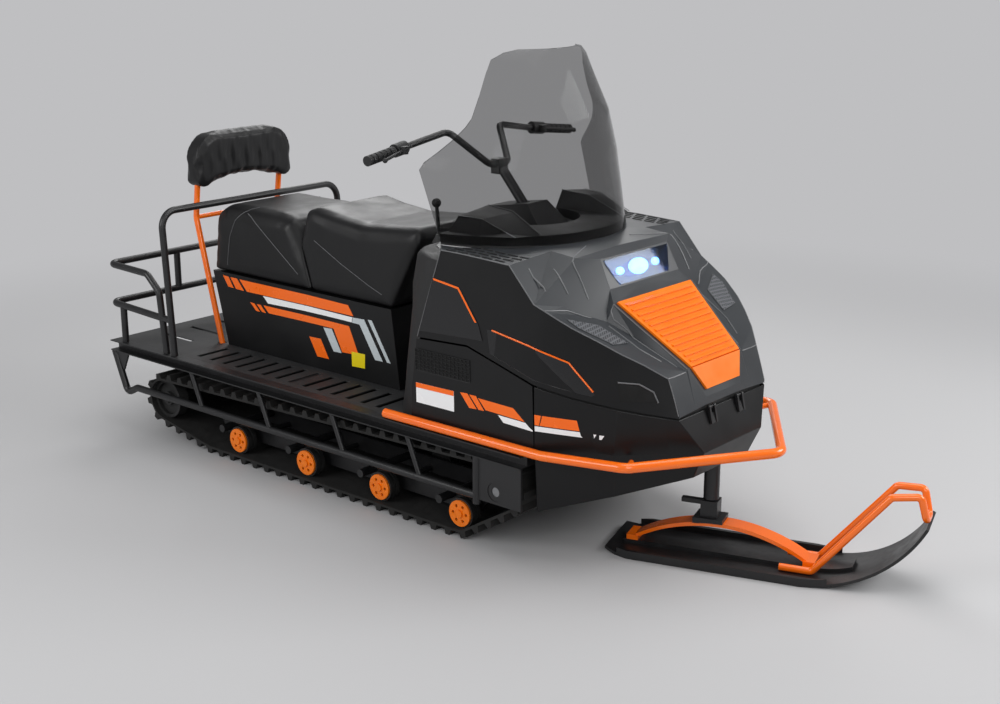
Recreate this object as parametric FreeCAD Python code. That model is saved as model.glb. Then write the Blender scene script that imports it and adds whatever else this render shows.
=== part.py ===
"""A two-track utility snowmobile with one front ski, as separate pieces.

X runs forward and is counted here from the deck's rear edge, Y runs to the left, Z up from the
floor.  At export everything is moved back by half its reach, so that the origin lies on the floor
under the middle of the machine.
"""
import FreeCAD
import Part
import math
import os

V = FreeCAD.Vector
UP = V(0, 0, 1)
LEFT = V(0, 1, 0)
RIGHT_SIDE = -1
LEFT_SIDE = 1

# Overall places along X
DECK_LENGTH = 2018.0
HITCH_REACH = 58.0
FREE_GAP = 0.3
RUNNING = 0.06

# Deck
DECK_HALF = 450.0
DECK_TOP = 343.0
DECK_DEPTH = 40.0
CHANNEL_WIDTH = 40.0
CHANNEL_WALL = 4.0
PLATE = 4.0
CARGO_FRONT = 366.0
BOARD_FRONT = 1850.0
CROSS_PLACES = (0.0, 336.0, 900.0, 1380.0, DECK_LENGTH - CHANNEL_WIDTH)
SLOT_COUNT = 14
SLOT_WIDTH = 22.0
CARGO_SLOTS = 5
NOTCH_GAP = 3.0

# Tracks
TRACK_WIDTH = 380.0
TRACK_INNER = 35.0
LUG = 19.0
LUG_PITCH = 62.0
LUG_FOOT = 30.0
LUG_TIP = 16.0
BELT = 8.0
WHEEL_RADIUS = 50.0
WHEEL_FIRST_X = 665.0
WHEEL_SPACING = 356.0
WHEEL_COUNT = 4
HEEL_X = 520.0
IDLER_X = 260.0
IDLER_Z = 150.0
IDLER_RADIUS = 73.0
DRIVE_X = 1915.0
DRIVE_Z = 205.0
DRIVE_RADIUS = 66.0
SPROCKET_TEETH = 9
TOOTH = 7.0

# Running gear inside each track
WHEEL_THICK = 40.0
WHEEL_OUT_Y = 395.0
WHEEL_IN_Y = 100.0
AXLE_RADIUS = 10.0
CAP_RADIUS = 43.0
CAP_THICK = 7.0
CAP_HOLES = 6
CAP_HOLE_RADIUS = 5.5
RAIL_Y = (146.0, 318.0)
RAIL_THICK = 10.0
RAIL_LOW = 60.0
RAIL_HIGH = 116.0
SWAY_RADIUS = 14.0
SWAY_Z = 100.0
SWAY_OFFSET = -95.0
SHAFT_RADIUS = 15.0

# Centre spine
SPINE_HALF = 28.0
SPINE_REAR = 190.0
SPINE_FRONT = 2290.0
SPINE_LOW = 84.0
SPINE_NOSE_LOW = 232.0

# Side guards
GUARD_Y = DECK_HALF - 13.0
GUARD_TUBE = 13.0
GUARD_RAIL_Z = 176.0
GUARD_RAIL_REAR = 74.0
GUARD_RAIL_FRONT = 1838.0
STRUT_TOPS = (466.0, 832.0, 1198.0, 1546.0)
STRUT_LEAN = 54.0
STRUT_RADIUS = 9.0
BEARING_PLATE = (1856.0, DECK_LENGTH - 2.0, 166.0)
BEARING_HOLE = 30.0

# Rear rack and backrest
RACK_Y = DECK_HALF - 22.0
RACK_TUBE = 12.5
RACK_TOP_Z = 634.0
RACK_LOW_Z = 486.0
RACK_BEND = 34.0
HOOP_X = 330.0
HOOP_FOOT_X = 362.0
HOOP_TOP_Z = 868.0
REST_Y = 198.0
REST_FOOT_X = 352.0
REST_FOOT_Z = DECK_TOP - PLATE + FREE_GAP
REST_TUBE = 11.0
PAD_HALF = 236.0
PAD_LOW = 918.0
PAD_TOP = 1126.0
PAD_ARCH = 30.0
PAD_X = 262.0
PAD_THICK = 84.0
PAD_CORNER = 92.0

# Seat
SEAT_HALF = 200.0
BASE_TOP = 618.0
BASE_REAR_FOOT = 392.0
BASE_REAR_TOP = 322.0
BASE_FRONT_FOOT = 1284.0
BASE_FRONT_TOP = 1248.0
SEAT_TOP = 872.0
SEAT_SPLIT = 792.0
SEAT_EDGE = 42.0

# Cowl: half widths and heights at stations along X
WALL = 4.0
PARTING_GAP = 6.0
HOOD_STATIONS = (
    # x, sill half, sill z, shoulder half, shoulder z, spine half, spine z, crown z
    (1510.0, 348.0, 604.0, 290.0, 882.0, 185.0, 900.0, 908.0),
    (1750.0, 364.0, 616.0, 298.0, 884.0, 190.0, 912.0, 922.0),
    (1886.0, 372.0, 586.0, 302.0, 880.0, 192.0, 918.0, 930.0),
    (1962.0, 375.0, 569.0, 304.0, 770.0, 196.0, 912.0, 926.0),
    (2096.0, 363.0, 547.0, 298.0, 706.0, 188.0, 905.0, 905.0),
    (2136.0, 361.0, 541.0, 295.0, 692.0, 196.0, 822.0, 822.0),
    (2170.0, 358.0, 536.0, 292.0, 682.0, 204.0, 787.0, 787.0),
    (2300.0, 343.0, 520.0, 268.0, 646.0, 168.0, 689.0, 689.0),
    (2394.0, 252.0, 508.0, 236.0, 612.0, 142.0, 619.0, 619.0),
    (2430.0, 214.0, 503.0, 204.0, 528.0, 92.0, 532.0, 532.0),
)
LAMP_TOP, LAMP_FOOT, GRILLE_TOP, GRILLE_BEND = (HOOD_STATIONS[i] for i in (4, 5, 6, 8))
LAMP_HALF_TOP = 165.0
LAMP_HALF_FOOT = 127.0
LAMP_DEPTH = 26.0
LAMP_PROUD = 2.0
NOTCH_FRONT = 1832.0
NOTCH_HALF = 150.0
HINGE_X = 2437.0
HINGE_Z = 500.0
HINGE_PIN = 3.0
HINGE_EYE = 6.5
HINGE_Y = 75.0
HINGE_LEAF = 8.0
BELLY_REAR = 2024.0
BELLY_CREASE_Z = 383.0
PANEL_REAR_FOOT = 1384.0
PANEL_REAR_TOP = 1504.0
BEND_RIBS = 12
VENT_COLUMNS = 10
VENT_ROWS = 6
VENT_HOLE = 11.0
VENT_PITCH = 16.0
VENT_X = 1545.0
VENT_Z = 482.0

# Windscreen: height, front, edge x, edge half width
SCREEN_WALL = 4.0
SCREEN_STATIONS = (
    (868.0, 1990.0, 1566.0, 280.0),
    (930.0, 1985.0, 1560.0, 282.0),
    (1135.0, 1946.0, 1532.0, 338.0),
    (1172.0, 1939.0, 1566.0, 316.0),
    (1262.0, 1918.0, 1636.0, 252.0),
    (1296.0, 1910.0, 1656.0, 242.0),
    (1428.0, 1850.0, 1690.0, 230.0),
    (1468.0, 1826.0, 1712.0, 214.0),
    (1496.0, 1808.0, 1738.0, 160.0),
)

# Bumper
BUMPER_TUBE = 15.0
BUMPER_START = 1450.0
BUMPER_BEND = (2089.0, DECK_HALF - 12.0, 362.0)
BUMPER_SHOULDER = (2365.0, 398.0, 378.0)
BUMPER_TIP = (2636.0, 0.0, 381.0)

# Engine
ENGINE = (1640.0, 1930.0, 170.0, 640.0)

# Steering
COLUMN_TOP = V(1556.0, 0, 1112.0)
COLUMN_TILT = 41.0
COLUMN_RADIUS = 16.0
COLUMN_LENGTH = 1000.0
CLAMP_HALF = 22.0
CLAMP_WALL = 6.0
BUSH_AT = 880.0
BUSH_LENGTH = 40.0
BAR_RADIUS = 11.0
BAR_BEND = 34.0
BAR_CENTRE = COLUMN_TOP + V(-2, 0, 4)
BAR_ELBOW = V(1444, 125, 1222)
BAR_HAND = V(1428, 285, 1193)
BAR_END = V(1452, 490, 1170)
GRIP_RADIUS = 16.0
GRIP_LENGTH = 125.0
HOUSING_RADIUS = 21.0
HOUSING_LENGTH = 52.0

# Ski
KING_X = 2402.0
KING_RADIUS = 13.0
KING_TOP = 330.0
BOSS_WALL = 11.0
SKI_TURN = 18.0
SKI_HALF = 140.0
SKI_THICK = 9.0
SKI_FLANGE = 26.0
SKI_REAR = -300.0
SKI_HEEL = 36.0
SKI_HEEL_LIFT = 10.0
SKI_FLAT_FRONT = 320.0
SKI_TIP = 652.0
SKI_TIP_Z = 206.0
SPRING_REAR = -236.0
SPRING_FRONT = 312.0
SPRING_TOP = 112.0
SPRING_WIDTH = 62.0
SPRING_THICK = 12.0
SKI_RIDGE = 12.0
LOOP_TUBE = 11.0
LOOP_HALF = 62.0


def box(x0, x1, y0, y1, z0, z1):
    """A block between two corners, given in any order."""
    low = V(min(x0, x1), min(y0, y1), min(z0, z1))
    return Part.makeBox(abs(x1 - x0), abs(y1 - y0), abs(z1 - z0), low)


def rod(start, end, radius):
    """A round bar between two points."""
    return Part.makeCylinder(radius, (end - start).Length, start, end - start)


def cross_rod(x, z, y0, y1, radius):
    """A round bar across the machine."""
    return rod(V(x, min(y0, y1), z), V(x, max(y0, y1), z), radius)


def polygon(points):
    """A closed wire through the points."""
    return Part.makePolygon(list(points) + [points[0]])


def side_plate(outline, y0, y1):
    """An (x, z) outline, made solid from y0 to y1."""
    face = Part.Face(polygon([V(x, y0, z) for x, z in outline]))
    return face.extrude(V(0, y1 - y0, 0))


def flat_plate(outline, z0, z1):
    """An (x, y) outline, made solid from z0 to z1."""
    face = Part.Face(polygon([V(x, y, z0) for x, y in outline]))
    return face.extrude(V(0, 0, z1 - z0))


def mirrored(shape):
    """The same shape on the other side of the machine."""
    return shape.mirror(V(0, 0, 0), LEFT)


def on_side(shape, side):
    """A shape drawn on the left, on the side asked for."""
    return shape if side == LEFT_SIDE else mirrored(shape)


def joined(shapes):
    """All the shapes as one."""
    first, rest = shapes[0], list(shapes[1:])
    return first.fuse(rest).removeSplitter() if rest else first


def bent_path(points, bend):
    """Straight runs through the points, with a tangent arc at each inner one."""
    edges = []
    start = points[0]
    for before, corner, after in zip(points, points[1:], points[2:]):
        into = (corner - before).normalize()
        out = (after - corner).normalize()
        turn = into.getAngle(out)
        cut = bend * math.tan(turn / 2)
        begin = corner - into * cut
        end = corner + out * cut
        inward = (out - into).normalize()
        middle = corner + inward * (bend / math.cos(turn / 2) - bend)
        edges.append(Part.LineSegment(start, begin).toShape())
        edges.append(Part.Arc(begin, middle, end).toShape())
        start = end
    edges.append(Part.LineSegment(start, points[-1]).toShape())
    return Part.Wire(edges)


def bent_tube(points, radius, bend):
    """A round tube along straight runs with bends."""
    path = bent_path(points, bend)
    ring = Part.Wire(Part.makeCircle(radius, points[0], points[1] - points[0]))
    return path.makePipeShell([ring], True, False)


def ring_y(x, z, y0, y1, outer, inner):
    """A ring with its axis across the machine."""
    return cross_rod(x, z, y0, y1, outer).cut(cross_rod(x, z, y0 - 1, y1 + 1, inner))


def wheel_places():
    """Where the road wheels stand along X."""
    return [WHEEL_FIRST_X + WHEEL_SPACING * index for index in range(WHEEL_COUNT)]


def wheel_height():
    """The road wheels' axle height over the floor."""
    return LUG + BELT + WHEEL_RADIUS


# Tracks

def track_circles(offset):
    """The rounds that one track runs over, as (x, z, radius), in the order of its travel."""
    grown = BELT + offset
    last_wheel = WHEEL_FIRST_X + WHEEL_SPACING * (WHEEL_COUNT - 1)
    return [
        (IDLER_X, IDLER_Z, IDLER_RADIUS + grown),
        (HEEL_X, wheel_height(), WHEEL_RADIUS + grown),
        (last_wheel, wheel_height(), WHEEL_RADIUS + grown),
        (DRIVE_X, DRIVE_Z, DRIVE_RADIUS + grown),
    ]


def belt_runs(offset):
    """Straight tangents between the rounds: start, end and the outward direction of each."""
    runs = []
    circles = track_circles(offset)
    for (x0, z0, r0), (x1, z1, r1) in zip(circles, circles[1:] + circles[:1]):
        span = math.hypot(x1 - x0, z1 - z0)
        heading = math.atan2(z1 - z0, x1 - x0)
        normal = heading - math.pi / 2 + math.asin((r0 - r1) / span)
        start = (x0 + r0 * math.cos(normal), z0 + r0 * math.sin(normal))
        end = (x1 + r1 * math.cos(normal), z1 + r1 * math.sin(normal))
        runs.append((start, end, normal))
    return runs


def belt_point(distance, offset):
    """The point at a distance along the belt, moved outwards, and the outward angle there."""
    circles = track_circles(0)
    runs = belt_runs(0)
    for index, (start, end, normal) in enumerate(runs):
        length = math.hypot(end[0] - start[0], end[1] - start[1])
        if distance <= length:
            share = distance / length
            x = start[0] + (end[0] - start[0]) * share
            z = start[1] + (end[1] - start[1]) * share
            return x + offset * math.cos(normal), z + offset * math.sin(normal)
        distance -= length
        x, z, radius = circles[(index + 1) % len(circles)]
        turn = (runs[(index + 1) % len(runs)][2] - normal) % (2 * math.pi)
        if distance <= radius * turn:
            angle = normal + distance / radius
            reach = radius + offset
            return x + reach * math.cos(angle), z + reach * math.sin(angle)
        distance -= radius * turn
    return belt_point(0, offset)


def belt_length():
    """The length of the belt's outer face."""
    total = 0.0
    circles = track_circles(0)
    runs = belt_runs(0)
    for index, (start, end, normal) in enumerate(runs):
        total += math.hypot(end[0] - start[0], end[1] - start[1])
        turn = (runs[(index + 1) % len(runs)][2] - normal) % (2 * math.pi)
        total += circles[(index + 1) % len(circles)][2] * turn
    return total


def belt_wire(offset):
    """The closed curve that runs round the wheels, at an offset from the belt's outer face."""
    edges = []
    circles = track_circles(offset)
    runs = belt_runs(offset)
    for index, (start, end, normal) in enumerate(runs):
        edges.append(Part.LineSegment(V(start[0], 0, start[1]), V(end[0], 0, end[1])).toShape())
        after, _, next_normal = runs[(index + 1) % len(runs)]
        x, z, radius = circles[(index + 1) % len(circles)]
        turn = (next_normal - normal) % (2 * math.pi)
        middle = normal + turn / 2
        top = V(x + radius * math.cos(middle), 0, z + radius * math.sin(middle))
        edges.append(Part.Arc(V(end[0], 0, end[1]), top, V(after[0], 0, after[1])).toShape())
    return Part.Wire(edges)


def track(side):
    """One rubber track, with its lugs in its outline."""
    total = belt_length()
    count = round(total / LUG_PITCH)
    pitch = total / count
    outline = []
    for index in range(count):
        middle = pitch * (index + 0.5)
        for along, height in ((-LUG_FOOT / 2, 0), (-LUG_TIP / 2, LUG), (LUG_TIP / 2, LUG), (LUG_FOOT / 2, 0)):
            x, z = belt_point((middle + along) % total, height)
            outline.append(V(x, 0, z))
    outer = Part.Face(polygon(outline))
    inner = Part.Face(belt_wire(-BELT))
    band = outer.cut(inner).extrude(V(0, TRACK_WIDTH, 0))
    band.translate(V(0, TRACK_INNER, 0))
    floor_cut = box(-500, 3500, 0, 600, -50, 0)
    return on_side(band.cut(floor_cut), side)


def sprocket(y0, y1):
    """A toothed drive wheel between two places across the machine."""
    outline = []
    for index in range(SPROCKET_TEETH * 4):
        angle = 2 * math.pi * (index + 0.5) / (SPROCKET_TEETH * 4)
        radius = DRIVE_RADIUS - FREE_GAP - (0 if index % 4 in (0, 1) else TOOTH)
        outline.append((DRIVE_X + radius * math.cos(angle), DRIVE_Z + radius * math.sin(angle)))
    return side_plate(outline, y0, y1)


def drive_axle():
    """The front cross shaft with its four sprockets."""
    shaft = cross_rod(DRIVE_X, DRIVE_Z, -GUARD_Y, GUARD_Y, SHAFT_RADIUS)
    wheels = []
    for side in (RIGHT_SIDE, LEFT_SIDE):
        for y in (WHEEL_IN_Y, WHEEL_OUT_Y - WHEEL_THICK):
            wheels.append(sprocket(side * y, side * (y + WHEEL_THICK * 0.6)))
    return joined([shaft] + wheels)


def idler_wheel(y0, y1):
    """A rear guide wheel with a dished web and four windows."""
    wheel = cross_rod(IDLER_X, IDLER_Z, y0, y1, IDLER_RADIUS - FREE_GAP)
    middle = (y0 + y1) / 2
    web = WHEEL_THICK * 0.15
    for start, end in ((y0, middle - web), (middle + web, y1)):
        wheel = wheel.cut(ring_y(IDLER_X, IDLER_Z, start, end, IDLER_RADIUS - 12, SHAFT_RADIUS + 10))
    return wheel


def rear_idlers():
    """The rear cross shaft with its four guide wheels."""
    reach = WHEEL_OUT_Y + 8
    shaft = cross_rod(IDLER_X, IDLER_Z, -reach, reach, SHAFT_RADIUS)
    wheels = []
    for side in (RIGHT_SIDE, LEFT_SIDE):
        for y in (WHEEL_IN_Y, WHEEL_OUT_Y - WHEEL_THICK):
            wheels.append(idler_wheel(*sorted((side * y, side * (y + WHEEL_THICK)))))
    return joined([shaft] + wheels)


def road_wheels(side):
    """The rubber road wheels of one track, two on each axle."""
    wheels = []
    height = wheel_height()
    for x in wheel_places():
        for y in (WHEEL_IN_Y - WHEEL_THICK, WHEEL_OUT_Y - WHEEL_THICK):
            wheel = ring_y(x, height, y, y + WHEEL_THICK, WHEEL_RADIUS - FREE_GAP, AXLE_RADIUS + RUNNING)
            groove = ring_y(x, height, y + 14, y + 26, WHEEL_RADIUS + 1, WHEEL_RADIUS - 6)
            wheels.append(on_side(wheel.cut(groove), side))
    return Part.makeCompound(wheels)


def wheel_caps(side):
    """The round caps on the outer road wheels."""
    caps = []
    height = wheel_height()
    for x in wheel_places():
        start = WHEEL_OUT_Y
        cap = cross_rod(x, height, start, start + CAP_THICK, CAP_RADIUS)
        hub = cross_rod(x, height, start, start + CAP_THICK + 5, CAP_RADIUS * 0.3)
        cap = cap.fuse(hub)
        for index in range(CAP_HOLES):
            angle = 2 * math.pi * index / CAP_HOLES
            hole_x = x + CAP_RADIUS * 0.62 * math.cos(angle)
            hole_z = height + CAP_RADIUS * 0.62 * math.sin(angle)
            cap = cap.cut(cross_rod(hole_x, hole_z, start - 1, start + 20, CAP_HOLE_RADIUS))
        caps.append(on_side(cap, side))
    return Part.makeCompound(caps)


def bogie(side):
    """The rails inside one track, with the axles and the tubes that tie them to the spine."""
    parts = []
    last = wheel_places()[-1]
    for y in RAIL_Y:
        outline = [(HEEL_X - 30, RAIL_HIGH), (HEEL_X, RAIL_LOW), (last + 20, RAIL_LOW), (last + 60, RAIL_HIGH)]
        parts.append(side_plate(outline, y, y + RAIL_THICK))
    for x in wheel_places():
        parts.append(cross_rod(x, wheel_height(), WHEEL_IN_Y - WHEEL_THICK - 5, WHEEL_OUT_Y, AXLE_RADIUS))
        parts.append(cross_rod(x + SWAY_OFFSET, SWAY_Z, SPINE_HALF + FREE_GAP, WHEEL_OUT_Y, SWAY_RADIUS))
    return on_side(joined(parts), side)


def chassis_spine():
    """The welded beam between the tracks, up to the nose."""
    top = DECK_TOP - DECK_DEPTH - FREE_GAP
    outline = [
        (SPINE_REAR, top), (SPINE_REAR, IDLER_Z - 40), (SPINE_REAR + 90, SPINE_LOW), (DRIVE_X + 40, SPINE_LOW),
        (BELLY_REAR - 20, SPINE_NOSE_LOW - 20), (SPINE_FRONT, SPINE_NOSE_LOW + 30), (SPINE_FRONT, top),
    ]
    beam = side_plate(outline, -SPINE_HALF, SPINE_HALF)
    for x, z in ((IDLER_X, IDLER_Z), (DRIVE_X, DRIVE_Z)):
        beam = beam.cut(cross_rod(x, z, -60, 60, SHAFT_RADIUS + RUNNING))
    for x in (600.0, 900.0, 1200.0, 1500.0):
        beam = beam.cut(cross_rod(x, 200.0, -60, 60, 34.0))
    return beam


# Deck and side guards

def channel(x0, x1, side):
    """The folded edge channel along one side of the deck, open to the outside."""
    outer = box(x0, x1, DECK_HALF - CHANNEL_WIDTH, DECK_HALF, DECK_TOP - DECK_DEPTH, DECK_TOP)
    hollow = box(x0 - 1, x1 + 1, DECK_HALF - CHANNEL_WIDTH + CHANNEL_WALL, DECK_HALF + 1,
                 DECK_TOP - DECK_DEPTH + CHANNEL_WALL, DECK_TOP - CHANNEL_WALL)
    return on_side(outer.cut(hollow), side)


def deck_frame():
    """Edge channels, cross members and the floor under the seat and the engine."""
    inner = DECK_HALF - CHANNEL_WIDTH
    parts = [channel(0, DECK_LENGTH, side) for side in (RIGHT_SIDE, LEFT_SIDE)]
    for x in CROSS_PLACES:
        parts.append(box(x, x + CHANNEL_WIDTH, -inner, inner, DECK_TOP - DECK_DEPTH, DECK_TOP - PLATE))
    parts.append(box(CARGO_FRONT, DECK_LENGTH, -SEAT_HALF, SEAT_HALF, DECK_TOP - PLATE, DECK_TOP))
    parts.append(box(BOARD_FRONT, DECK_LENGTH, -inner, inner, DECK_TOP - PLATE, DECK_TOP))
    return joined(parts)


def running_board(side):
    """A tread plate with a row of cross slots."""
    y0 = SEAT_HALF + FREE_GAP
    y1 = DECK_HALF - CHANNEL_WIDTH - FREE_GAP
    plate = box(CARGO_FRONT + FREE_GAP, BOARD_FRONT - FREE_GAP, y0, y1, DECK_TOP - PLATE + FREE_GAP, DECK_TOP)
    first = CARGO_FRONT + 70
    last = PANEL_REAR_FOOT - 30
    step = (last - first) / (SLOT_COUNT - 1)
    slots = []
    for index in range(SLOT_COUNT):
        x = first + step * index
        slots.append(box(x - SLOT_WIDTH / 2, x + SLOT_WIDTH / 2, y0 + 40, y1 - 30, 0, DECK_TOP + 1))
    return on_side(plate.cut(Part.makeCompound(slots)), side)


def cargo_deck():
    """The flat load plate behind the seat, slotted, and notched round the backrest's feet."""
    half = DECK_HALF - CHANNEL_WIDTH - FREE_GAP
    plate = box(0, CARGO_FRONT, -half, half, DECK_TOP - PLATE + FREE_GAP, DECK_TOP)
    slots = []
    for index in range(CARGO_SLOTS):
        y = (index - (CARGO_SLOTS - 1) / 2) * 130.0
        slots.append(box(80, 250, y - 9, y + 9, 0, DECK_TOP + 1))
    reach = REST_TUBE + NOTCH_GAP
    for side in (RIGHT_SIDE, LEFT_SIDE):
        slots.append(box(REST_FOOT_X - reach, CARGO_FRONT + 1, side * REST_Y - reach, side * REST_Y + reach,
                         0, DECK_TOP + 1))
    return plate.cut(Part.makeCompound(slots))


def side_guard(side):
    """The tube rail beside the track, its struts and the plate at the drive shaft."""
    under = DECK_TOP - DECK_DEPTH - FREE_GAP
    rear = [V(8, GUARD_Y, under), V(GUARD_RAIL_REAR, GUARD_Y, GUARD_RAIL_Z - 30),
            V(GUARD_RAIL_REAR + 60, GUARD_Y, GUARD_RAIL_Z), V(GUARD_RAIL_FRONT, GUARD_Y, GUARD_RAIL_Z)]
    parts = [bent_tube(rear, GUARD_TUBE, 22.0)]
    for x in STRUT_TOPS:
        parts.append(rod(V(x, GUARD_Y, under), V(x + STRUT_LEAN, GUARD_Y, GUARD_RAIL_Z), STRUT_RADIUS))
    parts.append(rod(V(GUARD_RAIL_FRONT, GUARD_Y, GUARD_RAIL_Z - 26), V(GUARD_RAIL_FRONT, GUARD_Y, under), GUARD_TUBE))
    gusset = [(20, under), (95, under), (60, under - 70)]
    parts.append(side_plate(gusset, GUARD_Y - 4, GUARD_Y + 4))
    trimmed = joined(parts).cut(box(-100, 2100, 0, 600, under, under + 60))
    x0, x1, z0 = BEARING_PLATE
    plate = box(x0 - 20, x1, GUARD_Y - 4, GUARD_Y + 4, z0, under)
    plate = plate.cut(cross_rod(DRIVE_X, DRIVE_Z, 400, 500, BEARING_HOLE))
    carrier = ring_y(DRIVE_X, DRIVE_Z, GUARD_Y - 16, GUARD_Y + 2, BEARING_HOLE, SHAFT_RADIUS + RUNNING)
    return on_side(joined([trimmed, plate, carrier]), side)


def tow_hitch():
    """A draw plate under the rear of the deck, with a clevis for a sled's bar."""
    under = DECK_TOP - DECK_DEPTH
    shank = box(0, SPINE_REAR - FREE_GAP, -30, 30, under - 46, under - FREE_GAP)
    ears = []
    for z in (under - 46, under - 10.3):
        ear = box(-HITCH_REACH + 24, 0, -24, 24, z, z + 10)
        ear = ear.fuse(Part.makeCylinder(24, 10, V(-HITCH_REACH + 24, 0, z)))
        ears.append(ear)
    hook = joined([shank] + ears)
    return hook.cut(Part.makeCylinder(8.0, 80, V(-HITCH_REACH + 24, 0, under - 60)))


# Rack, backrest and seat

def rack_side(side):
    """One end of the rear rack: two rails, their posts and the sloping leg."""
    foot = DECK_TOP + FREE_GAP
    upper = [V(0, 0, RACK_TOP_Z), V(0, RACK_Y, RACK_TOP_Z), V(226, RACK_Y, RACK_TOP_Z - 6),
             V(292, RACK_Y, 570), V(HOOP_FOOT_X - 46, RACK_Y, foot)]
    lower = [V(0, 0, RACK_LOW_Z), V(0, RACK_Y, RACK_LOW_Z), V(306, RACK_Y, RACK_LOW_Z - 12)]
    parts = [bent_tube(upper, RACK_TUBE, RACK_BEND), bent_tube(lower, RACK_TUBE, RACK_BEND)]
    parts.append(rod(V(68, RACK_Y, foot), V(68, RACK_Y, RACK_LOW_Z), RACK_TUBE))
    parts.append(rod(V(0, 118, RACK_LOW_Z), V(0, 118, RACK_TOP_Z), RACK_TUBE))
    return on_side(joined(parts), side)


def rear_rack():
    """The rear rack: both sides and the tall hoop behind the seat."""
    foot = DECK_TOP + FREE_GAP
    right = [V(HOOP_FOOT_X, -RACK_Y, foot), V(HOOP_X, -RACK_Y, HOOP_TOP_Z), V(HOOP_X, RACK_Y, HOOP_TOP_Z),
             V(HOOP_FOOT_X, RACK_Y, foot)]
    hoop = bent_tube(right, RACK_TUBE, 62.0)
    ties = [rod(V(300, s * RACK_Y, RACK_LOW_Z - 12), V(HOOP_X + 26, s * RACK_Y, RACK_LOW_Z - 12), RACK_TUBE)
            for s in (RIGHT_SIDE, LEFT_SIDE)]
    rack = joined([rack_side(RIGHT_SIDE), rack_side(LEFT_SIDE), hoop] + ties)
    return rack.cut(box(-100, 600, -600, 600, 0, foot))


def rest_upright(radius):
    """The line of one backrest upright, as a solid of the radius asked for."""
    points = [V(REST_FOOT_X, REST_Y, REST_FOOT_Z), V(236, REST_Y, 806), V(PAD_X, REST_Y, PAD_LOW + 70)]
    return bent_tube(points, radius, 60.0)


def backrest_frame():
    """Two tube uprights tied by a cross bar."""
    upright = rest_upright(REST_TUBE)
    bar = cross_rod(236, 806, -REST_Y, REST_Y, REST_TUBE - 2)
    frame = joined([upright, mirrored(upright), bar])
    return frame.cut(box(0, 600, -600, 600, 0, REST_FOOT_Z))


def backrest_pad():
    """The padded backrest, a rounded arch, with sockets for the uprights."""
    low, high, half = PAD_LOW, PAD_TOP, PAD_HALF
    corner = PAD_CORNER
    inset = corner * (1 - math.sqrt(0.5))
    x = PAD_X - PAD_THICK / 2
    edges = [
        Part.LineSegment(V(x, half, low + 22), V(x, half, high - corner - 12)).toShape(),
        Part.Arc(V(x, half, high - corner - 12), V(x, half - inset, high - inset - 6),
                 V(x, half - corner, high)).toShape(),
        Part.LineSegment(V(x, half - corner, high), V(x, -half + corner, high)).toShape(),
        Part.Arc(V(x, -half + corner, high), V(x, -half + inset, high - inset - 6),
                 V(x, -half, high - corner - 12)).toShape(),
        Part.LineSegment(V(x, -half, high - corner - 12), V(x, -half, low + 22)).toShape(),
        Part.Arc(V(x, -half, low + 22), V(x, -half + 22, low), V(x, -half + 62, low + 6)).toShape(),
        Part.Arc(V(x, -half + 62, low + 6), V(x, 0, low + PAD_ARCH), V(x, half - 62, low + 6)).toShape(),
        Part.Arc(V(x, half - 62, low + 6), V(x, half - 22, low), V(x, half, low + 22)).toShape(),
    ]
    pad = Part.Face(Part.Wire(edges)).extrude(V(PAD_THICK, 0, 0))
    socket = rest_upright(REST_TUBE + FREE_GAP)
    pocket = Part.makeSphere(REST_TUBE + 1, V(PAD_X, REST_Y, PAD_LOW + 70))
    for shape in (socket, pocket):
        pad = pad.cut(shape).cut(mirrored(shape))
    return pad


def seat_base():
    """The body-coloured box that carries the seat."""
    outline = [(BASE_REAR_FOOT, DECK_TOP + FREE_GAP), (BASE_FRONT_FOOT, DECK_TOP + FREE_GAP),
               (BASE_FRONT_TOP, BASE_TOP), (BASE_REAR_TOP, BASE_TOP)]
    return side_plate(outline, -SEAT_HALF, SEAT_HALF)


def rounded_top(solid, radius):
    """The solid with its long upper side edges rounded."""
    edges = []
    for edge in solid.Edges:
        a, b = edge.Vertexes[0].Point, edge.Vertexes[-1].Point
        along = abs(a.y - b.y) < 1e-6 and abs(abs(a.y) - SEAT_HALF) < 1e-6
        upper = min(a.z, b.z) > BASE_TOP + 120
        if along and upper:
            edges.append(edge)
    return solid.makeFillet(radius, edges)


def rear_seat():
    """The passenger's cushion."""
    low = BASE_TOP + FREE_GAP
    outline = [(BASE_REAR_TOP + 2, low), (SEAT_SPLIT + 60, low), (SEAT_SPLIT, 800), (SEAT_SPLIT - 36, SEAT_TOP - 12),
               (SEAT_SPLIT - 110, SEAT_TOP), (400, SEAT_TOP), (352, SEAT_TOP - 26)]
    return rounded_top(side_plate(outline, -SEAT_HALF, SEAT_HALF), SEAT_EDGE)


def rider_seat():
    """The rider's saddle, with a raised rear edge."""
    low = BASE_TOP + FREE_GAP
    outline = [(SEAT_SPLIT + 61, low), (BASE_FRONT_TOP, low), (1384, 872), (1372, 908), (1240, 896), (1100, 886),
               (960, 900), (868, 916), (826, 904), (SEAT_SPLIT + 1, 800)]
    return rounded_top(side_plate(outline, -SEAT_HALF, SEAT_HALF), SEAT_EDGE - 8)


# Cowl

def hood_section(station, inset, drop, shift):
    """One cross section of the hood, drawn inwards by a wall."""
    x, sill, sill_z, shoulder, shoulder_z, spine, spine_z, crown_z = station
    flare = (sill - shoulder) / (shoulder_z - sill_z)
    half = [(sill - inset + flare * drop, sill_z - drop), (shoulder - inset, shoulder_z - inset * 1.4),
            (spine - inset * 0.5, spine_z - inset * 1.5)]
    points = [V(x + shift, y, z) for y, z in half]
    points.append(V(x + shift, 0, crown_z - inset * 1.5))
    points += [V(x + shift, -y, z) for y, z in reversed(half)]
    return polygon(points)


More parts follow.
